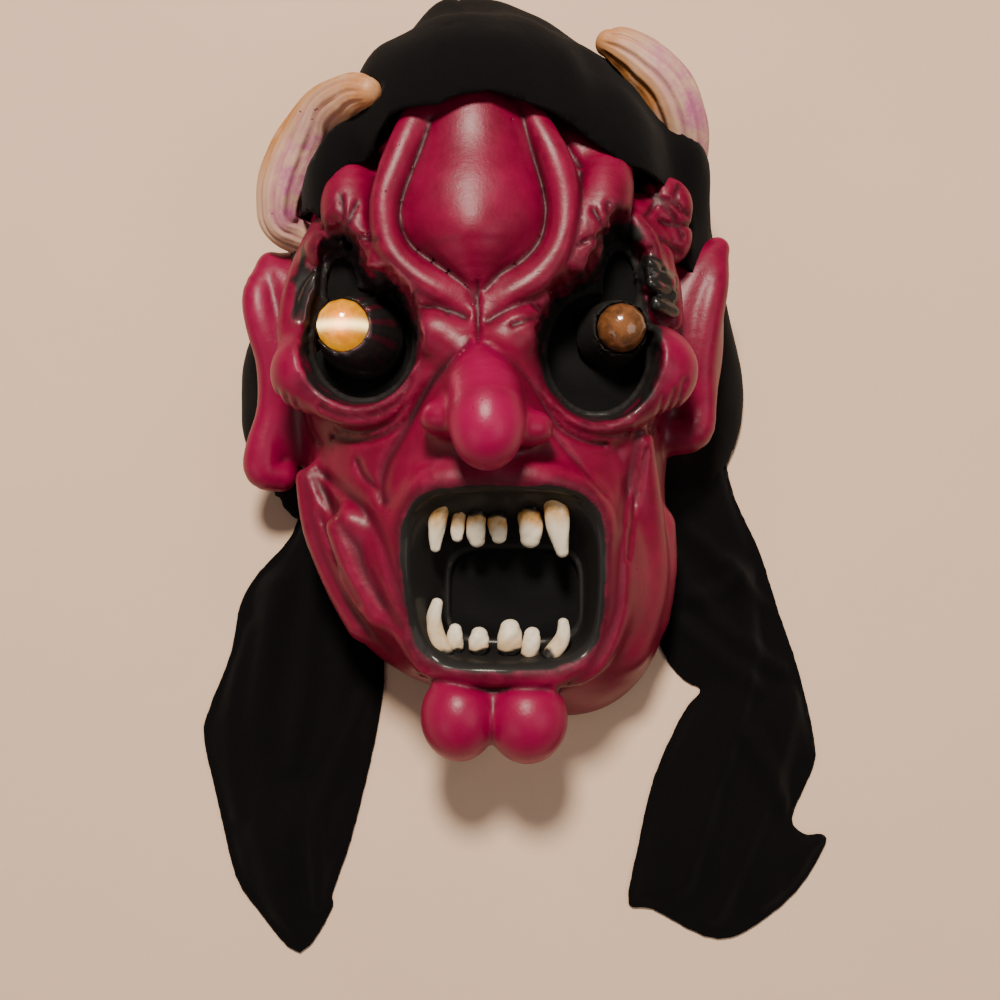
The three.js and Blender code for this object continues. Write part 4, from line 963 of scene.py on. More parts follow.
def floor_material(colours):
    """Pale woven table cloth."""
    made, n, shader, where = material("Table Cloth")
    cloth = weave(n, where, 620.0, 0.25)
    patches = n.spread(n.noise(where, 5.0, 4.0), 0.3, 0.7)
    dress(n, shader, (cloth["Height"], 0.0004, 0.35), {
        "Base Color": n.layers(
            n.mix(patches, scaled(colours.floor, 0.94), colours.floor),
            (n.spread(cloth["Thread"], 0.2, 0.9, 0.12, 0.0), scaled(colours.floor, 0.6)),
        ),
        "Roughness": 0.95,
        "Specular IOR Level": 0.15,
    })
    return made


# What a user would change


def length(name, text, default, low, high):
    return FloatProperty(
        name=name, description=text, default=default, min=low, max=high, unit="LENGTH", precision=4
    )


def tint(name, text, default):
    return FloatVectorProperty(
        name=name, description=text, default=default, size=3, subtype="COLOR", min=0.0, max=1.0
    )


class DevilMaskSizes(bpy.types.PropertyGroup):
    """How finely each piece is built, and how thick the cloth is."""

    skin_step: length("Skin Step", "Distance between points of the latex skin", 0.0015, 0.001, 0.01)
    hood_step: length("Hood Step", "Distance between points of the hood", 0.0036, 0.002, 0.02)
    flap_step: length("Flap Step", "Distance between points of the neck flaps", 0.0018, 0.001, 0.01)
    cloth_wall: length("Cloth Thickness", "Thickness of the hood and the flaps", 0.0012, 0.0004, 0.003)
    scrim_wall: length("Scrim Thickness", "Thickness of the scrims", 0.0006, 0.0002, 0.002)
    groove_depth: length("Horn Groove", "Depth of the grooves along the horns", 0.0009, 0.0, 0.003)


class DevilMaskColours(bpy.types.PropertyGroup):
    """The paints, cloths and lenses."""

    latex: tint("Latex", "Main crimson of the face", (0.225, 0.0, 0.037))
    latex_dark: tint("Latex Shade", "Darker patches of the crimson", (0.14, 0.0, 0.02))
    # Pinker red of nose, chin and cheek balls, and painted light on the ears
    latex_bright: tint("Latex Bright", "Pinker red of nose, chin and ear tips", (0.33, 0.0, 0.066))
    # Dark crimson for the drawn lines, the pinholes and the airbrushed haze, and for the painted shade in the
    # hollows
    crease: tint("Crease", "Airbrushed dark crimson in the creases", (0.035, 0.0, 0.006))
    # Pale crimson for the painted highlight on the ridges and for the dust specks
    highlight_and_speck: tint("Ridge Highlight and Speck", "Rubbed paint on the ridges", (0.42, 0.02, 0.09))
    black_paint: tint("Black Paint", "Airbrushed black round eyes and mouth", (0.006, 0.005, 0.005))
    bare_latex: tint("Bare Latex", "Unpainted latex on the inside", (0.42, 0.2, 0.13))
    horn: tint("Horn", "Cream of the horns", (0.66, 0.45, 0.29))
    horn_lilac: tint("Horn Lilac", "Lilac wash on the horns", (0.5, 0.13, 0.3))
    horn_groove: tint("Horn Groove Paint", "Mauve line in each groove", (0.32, 0.09, 0.16))
    horn_edge: tint("Horn Edge", "Tan along the outer edge", (0.5, 0.2, 0.055))
    tooth: tint("Tooth", "Chalk white of the teeth", (0.78, 0.69, 0.54))
    tooth_root: tint("Tooth Root", "Ochre at the roots", (0.58, 0.3, 0.07))
    tooth_grime: tint("Tooth Grime", "Dark specks on the roots", (0.2, 0.11, 0.04))
    hood: tint("Hood", "Black of the hood cloth", (0.0035, 0.0032, 0.0038))
    scrim: tint("Scrim", "Black of the cloth behind the openings", (0.009, 0.009, 0.0095))
    lens: tint("Lens", "Amber of the unlit lens", (0.2, 0.078, 0.028))
    lens_glow: tint("Lens Glow", "Colour the lit lens throws", (0.9, 0.3, 0.0))
    floor: tint("Floor", "Table cloth", (0.82, 0.6, 0.45))


def settings():
    scene = bpy.context.scene
    return scene.devil_mask_sizes, scene.devil_mask_colours


def in_mm(value):
    return value * 1000


def need(condition, message):
    if not condition:
        raise RuntimeError(message)


class DEVILMASK_OT_latex(bpy.types.Operator):
    """Cast latex face: skin, wall, open back, eye sockets and mouth"""

    bl_idname = "devilmask.latex"
    bl_label = "Latex Face"

    def execute(self, context):
        sizes, colours = settings()
        step = in_mm(sizes.skin_step)
        points, quads = skinned(latex, *LATEX_BOX, step)
        need(len(points) > 5000, "the latex skin came out empty")
        out = normals_of(points, quads)
        paint, finish = latex_paint(points, quads, out)
        masks = {"paint": paint, "finish": finish}
        piece = new_object("latex_skin", to_row(points), quads, latex_material(colours), masks)
        bare = finish[:, 1] > 0.5
        thinned(piece, bare, MOST_TRIANGLES)
        need(len(piece.data.polygons) <= MOST_TRIANGLES, "the latex skin has too many triangles")
        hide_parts("latex_mask")
        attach(piece, "root")
        return {"FINISHED"}


def latex_paint(p, quads, out):
    """Masks for the paint: black, crease, bright; then the painted highlight on the ridges, bare, gloss."""
    mouth = mouth_side(p)
    in_mouth = ramp(p[:, 2], MOUTH_PANEL_DEPTH - 8, MOUTH_PANEL_DEPTH - 5)
    bare = ramp(-face(p, fine=False), 2.8, 3.3)
    for eye in EYES:
        bare *= 1 - ramp(-ellipse(p, eye["socket"]), -3, 0) * ramp(p[:, 2], EYE_FLOOR - 6, EYE_FLOOR)
    bare *= 1 - (1 - ramp(mouth, -6, 2)) * in_mouth

    # Sprayed black in the mouth and the sockets, with a haze round them
    edge = mouth + 0.5 * ripple(p, 9, 61)
    black = (1 - ramp(edge, 1.6, 2.8)) * in_mouth
    gloss = 0.35 * black * ramp(mouth, -3, 1)
    haze = HAZE * (1 - ramp(edge, 2, 7.5)) * ramp(p[:, 2], 0, 6)
    for eye in EYES:
        side = eye_side(p, eye) + 1.8 * ripple(p, 15, 5) + 0.6 * ripple(p, 5, 6)
        deep = ramp(p[:, 2], EYE_FLOOR - 5, EYE_FLOOR - 1)
        black = np.maximum(black, (1 - ramp(side, 0, 4)) * deep)
        haze = np.maximum(haze, HAZE * (1 - ramp(side, 1, 11)) * deep)
        lid = (1 - ramp(np.abs(side - 1), 0, 2.5)) * (1 - ramp(p[:, 1], 12, 30))
        gloss = np.maximum(gloss, 0.7 * lid)

    # The left lens's fluted sleeve, paler where it catches the light, and the glossy pinched rolls
    u, v = SLEEVE_MIDDLE
    collar = 1 - ramp(roll_distance(p, SLEEVES[0]), 0.3, 1.8)
    lit_side = ramp(p[:, 0] + 0.4 * (p[:, 1] - v), -56, -44) * ramp(p[:, 2], -12, -4)
    flutes = 0.5 + 0.5 * np.sin(14 * np.arctan2(p[:, 1] - v, p[:, 0] - u))
    black *= 1 - 0.5 * collar * lit_side * flutes
    gloss = np.maximum(gloss, 0.6 * collar)
    rolls = np.min([roll_distance(p, path) for path in SMALL_ROLLS[:PINCHED]], axis=0)
    black = np.maximum(black, 0.8 * (1 - ramp(rolls + 1.2 * ripple(p, 7, 8), 0.2, 2.6)))
    gloss = np.maximum(gloss, 0.9 * (1 - ramp(rolls, 0.5, 4.0)))

    # Darker along the drawn lines, painted shade in whatever is hollow, and a painted highlight on whatever
    # stands out
    crease = np.zeros(len(p))
    for path, width, _, dark in LINES:
        near = np.linalg.norm(p[:, :2] - path.hub[:2], axis=1) < path.reach + 9
        gap = line_distance(p[near], path)
        line = 0.8 * np.exp(-gap / (0.8 * width) ** 2) + 0.18 * np.exp(-gap / 16.0)
        crease[near] = np.maximum(crease[near], dark * line)
    crease *= ramp(p[:, 2], *FRONT) * (1 - bare)
    flat = smoothed(p, quads, 0.6, 6)
    fine = ((flat - p) * out).sum(1)
    flat = smoothed(flat, quads, 0.6, 60)
    broad = ((flat - p) * out).sum(1)
    # Painted shade: darker where a point lies below its smoothed neighbours
    hollow = 0.35 * ramp(fine, 0.08, 0.5) + 0.38 * ramp(broad, 0.5, 3.5)
    crease = np.maximum(crease + hollow * (1 - bare), haze)
    # Painted highlight: paler where a point stands out above its smoothed neighbours
    highlight_and_speck = 0.7 * ramp(-fine, 0.06, 0.3) + 0.2 * ramp(-broad, 1.0, 3.0)

    # Brighter paint on the nose, the chin and the cheek balls; painted light on the ears, strong on the left
    # ear and faint on the right
    nose = np.minimum(ball(p, *NOSE_BALLS[0]), roll_distance(p, NOSE_BRIDGE) + 1)
    chin = np.minimum(ball(p, *CHIN_BALLS[0]), ball(p, *CHIN_BALLS[1]))
    bright = np.maximum(1 - ramp(nose, 0, 3), 0.6 * (1 - ramp(chin, 0, 5)))
    ears = np.min([roll_distance(p, rim) for rim, _ in EARS], axis=0)
    # Painted light: the left ear lighter, the right ear left darker as painted shade
    bright = np.maximum(bright, (1 - ramp(ears, 0, 5)) * (0.45 - 0.4 * ramp(p[:, 0], -20, 20)))
    for form in CHEEK_BALLS + NOSE_BALLS[1:]:
        bright = np.maximum(bright, 0.4 * (1 - ramp(ball(p, *form), 0, 5)))
    highlight_and_speck = np.clip(highlight_and_speck, 0, 1) * (1 - 0.7 * bright)
    masks = np.clip(np.stack([black, crease, bright, highlight_and_speck, bare, gloss], 1), 0, 1)
    return masks[:, :3], masks[:, 3:]


# Paths of the horns, and how many grooves go half round each
WIDE_GROOVES, FINE_GROOVES = 4.5, 10
HORNS = [
    Path([(-74, 84, -42, 7), (-87, 90, -34, 8), (-88, 100, -30, 9.5), (-84, 112, -28, 11),
          (-76.8, 123.5, -25, 11.3), (-66.3, 134, -16, 10.5), (-54, 136.8, -2, 8.7),
          (-46, 135.5, 7, 5.8)], 9),
    Path([(76, 96, -66, 8), (83, 108, -60, 10), (87.5, 122, -50, 11), (86, 136, -40, 11.5),
          (79, 150, -33, 11.3), (68, 160.5, -30, 10), (59, 166, -28, 8), (53, 168, -28, 5.5)], 9),
]


def ring_quads(rings, sides):
    """Squares between rings of points, numbered ring by ring."""
    return [
        (i * sides + j, (i + 1) * sides + j, (i + 1) * sides + (j + 1) % sides, i * sides + (j + 1) % sides)
        for i in range(rings - 1) for j in range(sides)
    ]


def swept(pts, sides, shape):
    """Rings square to a path, closed at both ends: points, faces, turn and share along."""
    before = pts[np.maximum(np.arange(len(pts)) - 1, 0), :3]
    after = pts[np.minimum(np.arange(len(pts)) + 1, len(pts) - 1), :3]
    along = after - before
    along /= np.linalg.norm(along, axis=1)[:, None]
    across = np.cross(along, (0, 0, 1))
    across /= np.linalg.norm(across, axis=1)[:, None]
    above = np.cross(across, along)
    t, s = np.meshgrid(2 * math.pi * np.arange(sides) / sides, np.linspace(0, 1, len(pts)))
    wide, tall = shape(t, s)
    r = pts[:, 3][:, None]
    rings = (pts[:, None, :3] + (r * wide * np.cos(t))[..., None] * across[:, None]
             + (r * tall * np.sin(t))[..., None] * above[:, None])
    points = rings.reshape(-1, 3)
    caps = [range(sides), range(len(points) - 1, len(points) - sides - 1, -1)]
    return points, ring_quads(len(pts), sides) + caps, t.ravel(), s.ravel()


def rounded_end(pts, steps=6):
    """A path's points, its last one drawn out into a round tip."""
    end, before = pts[-1], pts[-2]
    way = (end[:3] - before[:3]) / np.linalg.norm(end[:3] - before[:3])
    for i in range(1, steps + 1):
        turn = math.pi / 2 * i / steps
        spot = end[:3] + way * end[3] * math.sin(turn) * 0.9
        pts = np.vstack([pts, [*spot, max(end[3] * math.cos(turn), 0.02)]])
    return pts


def horn_sway(t, s):
    """The turn round a horn, as its grooves wander from root to tip."""
    return t + 0.35 * np.sin(4 * s + 1) + 0.5 * s


class DEVILMASK_OT_horns(bpy.types.Operator):
    """Two bent horns, grooved lengthwise and knobbed at the root"""

    bl_idname = "devilmask.horns"
    bl_label = "Horns"

    def execute(self, context):
        sizes, colours = settings()
        look = horn_material(colours)
        for name, path in zip(("horn_left", "horn_right"), HORNS):
            pts = rounded_end(path.points)
            depth = in_mm(sizes.groove_depth) / pts[:, 3].max()

            def shape(t, s):
                sway = horn_sway(t, s)
                grooves = np.abs(np.sin(WIDE_GROOVES * sway)) ** 0.7
                fine = np.abs(np.sin(FINE_GROOVES * sway + 2 * s)) ** 0.7
                fade = ramp(s, 0.02, 0.12) * (1 - ramp(s, 0.86, 0.97))
                wide = 1.02 + fade * depth * (1.9 * grooves + 0.9 * fine - 1.8)
                rings = 0.012 * np.sin(40 * s + 2 * np.sin(t)) * fade
                return wide + rings, wide + rings

            points, faces, t, s = swept(pts, 72, shape)
            sway = horn_sway(t, s)
            wide = (1 - np.abs(np.sin(WIDE_GROOVES * sway)) ** 0.4) * ramp(s, 0.03, 0.1)
            fine = (1 - np.abs(np.sin(FINE_GROOVES * sway + 2 * s)) ** 0.35) * ramp(s, 0.05, 0.2)
            groove = np.maximum(wide * (1 - ramp(s, 0.84, 0.95)), 0.6 * fine)
            edge = np.maximum(ramp(-np.cos(t), 0.2, 0.9) * ramp(s, 0.2, 0.5), 0.85 * ramp(s, 0.62, 0.9))
            lilac = ramp(np.cos(t), -0.8, 0.2) * (1 - 0.7 * ramp(s, 0.5, 0.85))
            masks = {"paint": np.stack([groove, edge, lilac], 1)}
            piece = new_object(name, to_row(points), faces, look, masks)
            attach(piece, "root")
        return {"FINISHED"}


# Each tooth: root, tip, half width, depth, bow to the right, kind
TEETH = [
    ((-16, -30), (-18.5, -49), 3.8, 12, -0.8, "fang"), ((-9.4, -35), (-10, -45), 2.5, 9, 0, "peg"),
    ((-2.4, -36.5), (-2.4, -47), 3.5, 9, 0, "peg"), ((6.2, -37), (6.2, -45.5), 3.6, 9, 0, "bead"),
    ((19, -35), (19, -47), 4.8, 10, 0, "peg"), ((29, -30), (32, -51), 5.2, 12, -0.8, "fang"),
    ((-15, -87.5), (-18, -68.5), 3.9, 7, -3, "hook"), ((-11, -87), (-11, -79), 3.0, 5, 0, "bead"),
    ((-1.4, -87), (-1.4, -80.5), 3.7, 5, 0, "peg"), ((11, -87), (11, -77.5), 4.7, 5, 0, "bead"),
    ((18, -90), (19.8, -80.5), 3.7, 5, 0.5, "peg"), ((26.5, -88.5), (32.5, -76.5), 3.8, 7, 1.8, "hook"),
]
# How wide each kind of tooth is from root to tip, and the steps between two of these widths
TOOTH_STEPS = 3
TOOTH_WIDTHS = {
    "fang": (0.85, 1.0, 1.0, 0.95, 0.85, 0.7, 0.52),
    "peg": (0.8, 0.92, 1.0, 1.02, 1.02, 0.98, 0.84),
    "bead": (0.7, 0.88, 1.0, 1.05, 1.02, 0.95, 0.8),
    "hook": (1.0, 1.0, 0.95, 0.88, 0.8, 0.72, 0.6),
}


class DEVILMASK_OT_teeth(bpy.types.Operator):
    """Twelve crooked teeth standing in the gums"""

    bl_idname = "devilmask.teeth"
    bl_label = "Teeth"

    def execute(self, context):
        _, colours = settings()
        all_points, all_faces, masks = [], [], []
        count = 0
        for number, (root, tip, half, depth, bow, kind) in enumerate(TEETH):
            lean = 4 if root[1] > tip[1] else -4
            cap = 0.7 * half * TOOTH_WIDTHS[kind][-1]
            long = abs(tip[1] - root[1])
            path = []
            for t, wide in zip(np.linspace(0, 1, 7), TOOTH_WIDTHS[kind]):
                path.append((
                    root[0] + (tip[0] - root[0]) * t + bow * math.sin(math.pi * t)
                    + 0.25 * math.sin(5 * t + number),
                    root[1] + lean * (1 - t) + (tip[1] - root[1]) * t * (1 - cap / long),
                    depth + 1.5 * t - 1.2 * t * t,
                    half * wide,
                ))
            pts = rounded_end(Path(path, TOOTH_STEPS).points)

            def shape(t, s):
                lumps = 0.07 * np.sin(2 * t + number) + 0.05 * np.sin(7 * s + 3 * t + 2 * number)
                lumps += 0.03 * np.sin(19 * s + 5 * t + number)
                square = 1 / (np.abs(np.cos(t)) ** 2.4 + np.abs(np.sin(t)) ** 2.4) ** (1 / 2.4)
                return square + lumps, square * 0.82 + lumps

            points, faces, t, s = swept(pts, 28, shape)
            all_points.append(points)
            all_faces += [[i + count for i in face] for face in faces]
            count += len(points)

            # Ochre from the gum to about the middle, and black where the tooth is sunk into the gum
            along = s * (len(pts) - 1) / ((len(path) - 1) * TOOTH_STEPS)
            gum = abs(lean) / (abs(lean) + long)
            patch = 0.6 + 0.12 * math.sin(2.3 * number)
            wobble = 0.06 * np.sin(3 * t + number)
            strong = 1.0 if lean > 0 else 0.55
            stain = strong * (1 - ramp(along + wobble, patch - 0.2, patch + 0.15))
            sunk = 1 - ramp(along + 0.6 * wobble, gum - 0.1, gum - 0.02)
            masks.append(np.stack([stain, sunk, np.zeros(len(s))], 1))
        points = np.concatenate(all_points)
        paint = np.concatenate(masks)
        piece = new_object("teeth", to_row(points), all_faces, tooth_material(colours), {"paint": paint})
        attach(piece, "root")
        return {"FINISHED"}


def lens_mesh(eye, sides=64):
    """A barrel under a shallow dome: points, faces and masks for core (the top, painted lighter as a
    highlight), rim and bright band.
    """
    u, v, w = eye["dome"]
    radius = eye["radius"]
    bottom = EYE_FLOOR - LATEX_WALL - w
    profile = [(0.85 * radius, bottom), (0.85 * radius, -3.6), (0.96 * radius, -3.4), (radius, -2.8)]
    for a in np.linspace(0, math.pi / 2, 22)[:-1]:
        profile.append((radius * math.cos(a), LENS_RISE * radius * math.sin(a)))
    points, masks = [], []
    for r, z in profile:
        for a in np.linspace(0, 2 * math.pi, sides, endpoint=False):
            facet = 1 + 0.012 * math.cos(12 * a) * (z > 0)
            points.append((u + r * facet * math.cos(a), v + r * facet * math.sin(a), w + z))
            band = math.exp(-((points[-1][1] - v + 0.5) / (0.26 * radius)) ** 2)
            # The core mask marks the top of the dome, painted lighter as a highlight
            masks.append((ramp(z / radius, 0.66, 0.8), 1 - ramp(z, -1.5, 0.12 * radius), band))
    top = len(points)
    last = top - sides
    points += [(u, v, w + LENS_RISE * radius), (u, v, w + bottom)]
    masks += [(1, 0, 1), (0, 1, 0)]
    faces = [(a, d, c, b) for a, b, c, d in ring_quads(len(profile), sides)]
    faces += [(last + j, last + (j + 1) % sides, top) for j in range(sides)]
    faces += [((j + 1) % sides, j, top + 1) for j in range(sides)]
    return points, faces, np.array(masks, float)


class DEVILMASK_OT_lenses(bpy.types.Operator):
    """The two lens eyes: the left one lit, the right one dark amber"""

    bl_idname = "devilmask.lenses"
    bl_label = "Lens Eyes"

    def execute(self, context):
        _, colours = settings()
        lit = lens_material("Lit Lens", (0.4, 0.14, 0.004), colours.lens_glow, 0.75, 0.0)
        dark = lens_material("Amber Lens", colours.lens, None, 0.0, 0.37)
        for eye, side, look in zip(EYES, ("left", "right"), (lit, dark)):
            points, faces, masks = lens_mesh(eye)
            piece = new_object(f"lens_{side}", to_row(points), faces, look, {"paint": masks})
            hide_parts(f"eye_dome_{side}")
            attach(piece, "root")
        return {"FINISHED"}


def flat_grid(low, high, step):
    """Points and squares of a level grid."""
    xs = np.arange(low[0], high[0] + step, step)
    ys = np.arange(low[1], high[1] + step, step)
    x, y = np.meshgrid(xs, ys, indexing="ij")
    n = np.arange(x.size).reshape(x.shape)
    quads = np.stack([n[:-1, :-1], n[1:, :-1], n[1:, 1:], n[:-1, 1:]], -1).reshape(-1, 4)
    return np.stack([x.ravel(), y.ravel()], 1), quads


# The cloths behind the openings: name, corners of the grid each is cut from, flat size and depth
SCRIMS = [
    ("eye_scrim_left", (-76, 8), (-26, 82), (0.048, 0.070), SCRIM_BACK),
    ("eye_scrim_right", (22, 2), (74, 84), (0.049, 0.077), SCRIM_BACK),
    ("mouth_scrim", (-18, -92), (44, -44), (0.059, 0.043), MOUTH_BACK),
]


class DEVILMASK_OT_scrims(bpy.types.Operator):
    """See-through cloth glued behind the eye sockets and the mouth"""

    bl_idname = "devilmask.scrims"
    bl_label = "Scrims"

    def execute(self, context):
        sizes, colours = settings()
        look = cloth_material("Scrim Cloth", colours.scrim, 900.0, 1.0)
        for number, (name, low, high, flat, depth) in enumerate(SCRIMS):
            spots, quads = flat_grid(low, high, 1.5)
            p = np.column_stack([spots, np.full(len(spots), depth)])
            keep = 1 - eye_opening(p, EYES[number]) if number < len(EYES) else -panel_side(p, 1)
            inner = face(p, ears=False, fine=False, carved=False) + LATEX_WALL + 0.6
            keep = np.minimum(keep, -inner)
            p[:, 2] += ramp(keep, 0.5, 9) * (2.2 + 1.1 * ripple(p, 17, 21)) - 0.15
            points, faces = trimmed(p, triangles_of(quads), keep)
            piece = new_object(f"{name}_cloth", to_row(points), faces, look)
            thickened(piece, sizes.scrim_wall)
            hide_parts(name)
            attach(piece, "root")
        return {"FINISHED"}


# The hood, as in the solid model but with a lower peak, and with a seam and gathers of its own
HOOD = [((12, 80, -70), (92, 117, 73)), ((3, 18, -84), (119, 104, 42))]
HOOD_FORMS = (
    ([((-9, 171.5, -60), (21, 24, 26))], 20),
    ([((-3, 127, -27), (58, 50, 51))], 16),
    ([((-60, 104, -34), (18, 34, 38))], 10),
    ([((49, 112, -32), (28, 34, 39))], 12),
    ([((87, 114, -46), (13, 22, 20))], 10),
)
HOOD_SLOPE_AT, HOOD_SLOPE_WAY = (29, 184), (0.6, 0.8)
HOOD_BROW_LINE = [
    (-92, 66), (-74, 72), (-67, 86), (-62, 97.5), (-57, 107), (-53, 108.5), (-46, 109.5), (-42, 119),
    (-37, 124.5), (-30, 126), (-18, 126), (-7, 130), (3, 131.5), (15, 128.5), (25, 126), (35, 122.5),
    (47, 114), (56, 107.5), (65, 106.5), (84, 101), (87.5, 95), (81, 81), (94, 66),
]
# The slanted line from which on the cloth is slit for the right horn
HORN_SLIT_SLANT, HORN_SLIT_START = 0.72, 194.0
UNDERSIDE = 0.3


def outline_distance(x, y, outline):
    best = np.full(len(x), np.inf)
    inside = np.zeros(len(x), bool)
    for (ax, ay), (bx, by) in zip(outline, np.roll(outline, -1, 0)):
        dx, dy = bx - ax, by - ay
        size = dx * dx + dy * dy
        if size < 1e-9:
            continue
        t = np.clip(((x - ax) * dx + (y - ay) * dy) / size, 0, 1)
        best = np.minimum(best, np.hypot(x - ax - t * dx, y - ay - t * dy))
        crosses = (ay > y) != (by > y)
        if abs(dy) > 1e-9:
            inside ^= crosses & (x < dx * (y - ay) / dy + ax)
    return np.where(inside, -best, best)


def hood_form(q):
    """Signed distance to the hood's outside, from points in the table's frame."""
    p = from_table(q)
    u, v = p[:, 0], p[:, 1]
    f = add_forms(join(ball(p, *HOOD[0]), ball(p, *HOOD[1]), 25), p, HOOD_FORMS)
    f = join(f, head_core(p) - HOOD_OVER_SKULL + np.maximum(0, HOOD_SIDE_TOP - v) * 0.3, 6)
    slope = HOOD_SLOPE_WAY[0] * (u - HOOD_SLOPE_AT[0]) + HOOD_SLOPE_WAY[1] * (v - HOOD_SLOPE_AT[1])
    f = carve(f, -slope, 12)
    seam = np.exp(-((u + 14 - 0.06 * (v - 150)) ** 2) / 3.0) * ramp(v, 120, 150)
    fan = np.arctan2(u - 6, v - 40)
    gathers = np.sin(fan * 26 + 2 * ripple(p, 60, 3)) * ramp(height(p), 20, 60)
    swell = 0.9 * ripple(p, 30, 7) + 0.5 * gathers
    return carve(f + 1.1 * seam - 0.8 * swell, q[:, 2] - UNDERSIDE, 5)


def hood_keep(q):
    """Above zero where the cloth is, below zero where the face looks out."""
    p = from_table(q)
    rough = 0.35 * ripple(p, 6, 11)
    brow = outline_distance(p[:, 0], p[:, 1], np.array(HOOD_BROW_LINE))
    keep = np.maximum(brow, HOOD_EDGE_DEPTH - 12 - p[:, 2])
    sides = np.maximum(p[:, 1] - HOOD_SIDE_TOP, HOOD_EDGE_DEPTH - p[:, 2])
    keep = np.minimum(keep, sides)
    for horn in HORNS:
        for u, v, w, r in horn.points:
            clear = np.hypot(p[:, 0] - u, p[:, 1] - v) - r
            past_slit = HORN_SLIT_SLANT * p[:, 0] + p[:, 1] > HORN_SLIT_START
            in_front = (p[:, 2] > w) & ((u < 0) | past_slit)
            keep = np.where(in_front, np.minimum(keep, clear), keep)
    return np.minimum(keep, q[:, 1] - NAPE) + rough


class DEVILMASK_OT_hood(bpy.types.Operator):
    """Black cloth hood drawn over the crown and behind the head"""

    bl_idname = "devilmask.hood"
    bl_label = "Hood"

    def execute(self, context):
        sizes, colours = settings()
        look = cloth_material("Hood Cloth", colours.hood, 1500.0, 0.5)
        points, quads = skinned(hood_form, *HOOD_BOX, in_mm(sizes.hood_step))
        points, faces = trimmed(points, triangles_of(quads), hood_keep(points))
        need(len(points) > 2000, "the hood came out empty")
        row = (points + ROW_SHIFT) / 1000
        row[:, 2] = np.maximum(row[:, 2], UNDERSIDE / 1000)
        piece = new_object("hood_cloth", row, faces, look)
        thickened(piece, sizes.cloth_wall)
        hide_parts("hood")
        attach(piece, "root")
        return {"FINISHED"}


# The neck flaps: outline on the table, folds as line, width and rise, and flat size and area
FLAPS = [
    {
        "name": "flap_left",
        "outline": Path([
            (-84, -4), (-89, -26), (-103, -43), (-111, -58), (-114, -80), (-122, -104), (-124, -118),
            (-116, -146), (-107, -176), (-96, -191), (-78, -208), (-65, -190), (-65, -184), (-59, -166),
            (-53, -142), (-47, -111), (-45, -84), (-52, -50), (-62, -4), (-84, -4)], 3),
        "folds": [
            ([(-54, -60), (-52, -97), (-71, -146), (-72, -163), (-69, -188)], 4.4, 5.5),
            ([(-62, -70), (-66, -110), (-82, -150), (-84, -175)], 5.5, 3.5),
            ([(-95, -50), (-100, -100), (-98, -140), (-88, -190)], 7.0, 5.5),
            ([(-76, -40), (-80, -90), (-84, -130)], 5.0, 4.0),
            ([(-106, -70), (-112, -110), (-106, -150)], 4.0, 3.5),
        ],
        "flat": (0.085, 0.215),
        "area": 0.0122,
    },
    {
        "name": "flap_right",
        "outline": Path([
            (112, 14), (116, -8), (126, -33), (133, -60), (141, -89), (146, -120), (144, -132),
            (134, -152), (139, -159), (146, -159), (148, -163), (134, -183), (110, -200), (94, -201),
            (72, -190), (62, -188), (66, -167), (75, -134), (89, -106), (97, -97), (89, -92), (80, -79),
            (74, -50), (84, 0), (96, 14), (112, 14)], 3),
        "folds": [
            ([(112, -40), (118, -60), (117, -92), (97, -146), (86, -180)], 5.0, 5.5),
            ([(117, -118), (134, -152), (146, -160)], 4.6, 4.5),
            ([(84, -40), (106, -68), (132, -88)], 5.0, 5.0),
            ([(82, -62), (100, -78), (122, -96)], 4.6, 4.5),
            ([(92, -24), (112, -44), (130, -60)], 4.5, 4.0),
            ([(76, -48), (90, -56), (104, -54), (120, -44)], 4.6, 3.8),
            ([(136, -100), (128, -130), (112, -165), (98, -192)], 5.0, 4.5),
        ],
        "flat": (0.090, 0.225),
        "area": 0.0140,
    },
]


def flap_height(q, flap):
    p = np.column_stack([q, np.zeros(len(q))])
    inner = -outline_distance(q[:, 0], q[:, 1], flap["outline"].points[:-1, :2])
    rise = 5.2 * (1 - np.exp(-np.maximum(inner, 0) / 5.5)) + 1.7 * ripple(p, 38, 31)
    for points, width, lift in flap["folds"]:
        gap = line_distance(p, Path(points))
        rise += lift * np.exp(-gap / width**2) - 0.45 * lift * np.exp(-gap / (2.6 * width) ** 2)
    rise += 0.7 * ripple(p * (1.0, 0.3, 1.0), 11, 12) * ramp(inner, 1, 6)
    return inner, np.maximum(rise * ramp(inner, -0.5, 5.0), 0) + 1.5


class DEVILMASK_OT_flaps(bpy.types.Operator):
    """Two loose neck flaps of the hood, spread on the table in soft folds"""

    bl_idname = "devilmask.flaps"
    bl_label = "Neck Flaps"

    def execute(self, context):
        sizes, colours = settings()
        look = cloth_material("Flap Cloth", colours.hood, 1500.0, 0.8)
        for flap in FLAPS:
            outline = flap["outline"].points[:, :2]
            spots, quads = flat_grid(outline.min(0) - 4, outline.max(0) + 4, in_mm(sizes.flap_step))
            inner, rise = flap_height(spots, flap)
            p = np.column_stack([spots, rise])
            ragged = 0.5 * ripple(p, 5, 41) + 0.4 * ripple(p, 2.4, 42)
            points, faces = trimmed(p, triangles_of(quads), inner + ragged * 0.25)
            piece = new_object(flap["name"], (points + ROW_SHIFT) / 1000, faces, look)
            thickened(piece, sizes.cloth_wall)
            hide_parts("hood")
            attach(piece, "root")
        return {"FINISHED"}


# Area lights: name, spot, size, power and colour; and the small glow in front of the lit lens
LIGHTS = [
    ("key", (-0.12, 0.52, 1.36), 0.3, 30.0, (1.0, 0.88, 0.74)),
    ("fill", (0.9, -0.3, 1.1), 0.9, 4.0, (1.0, 0.9, 0.8)),
    ("low", (-0.9, -0.7, 0.8), 0.8, 2.0, (1.0, 0.88, 0.76)),
]
LIGHT_TARGET = (0.0, 0.03, 0.05)
GLOW_SPOT = (-57, 42.5, 16)
TABLE_SIDE = 3.0


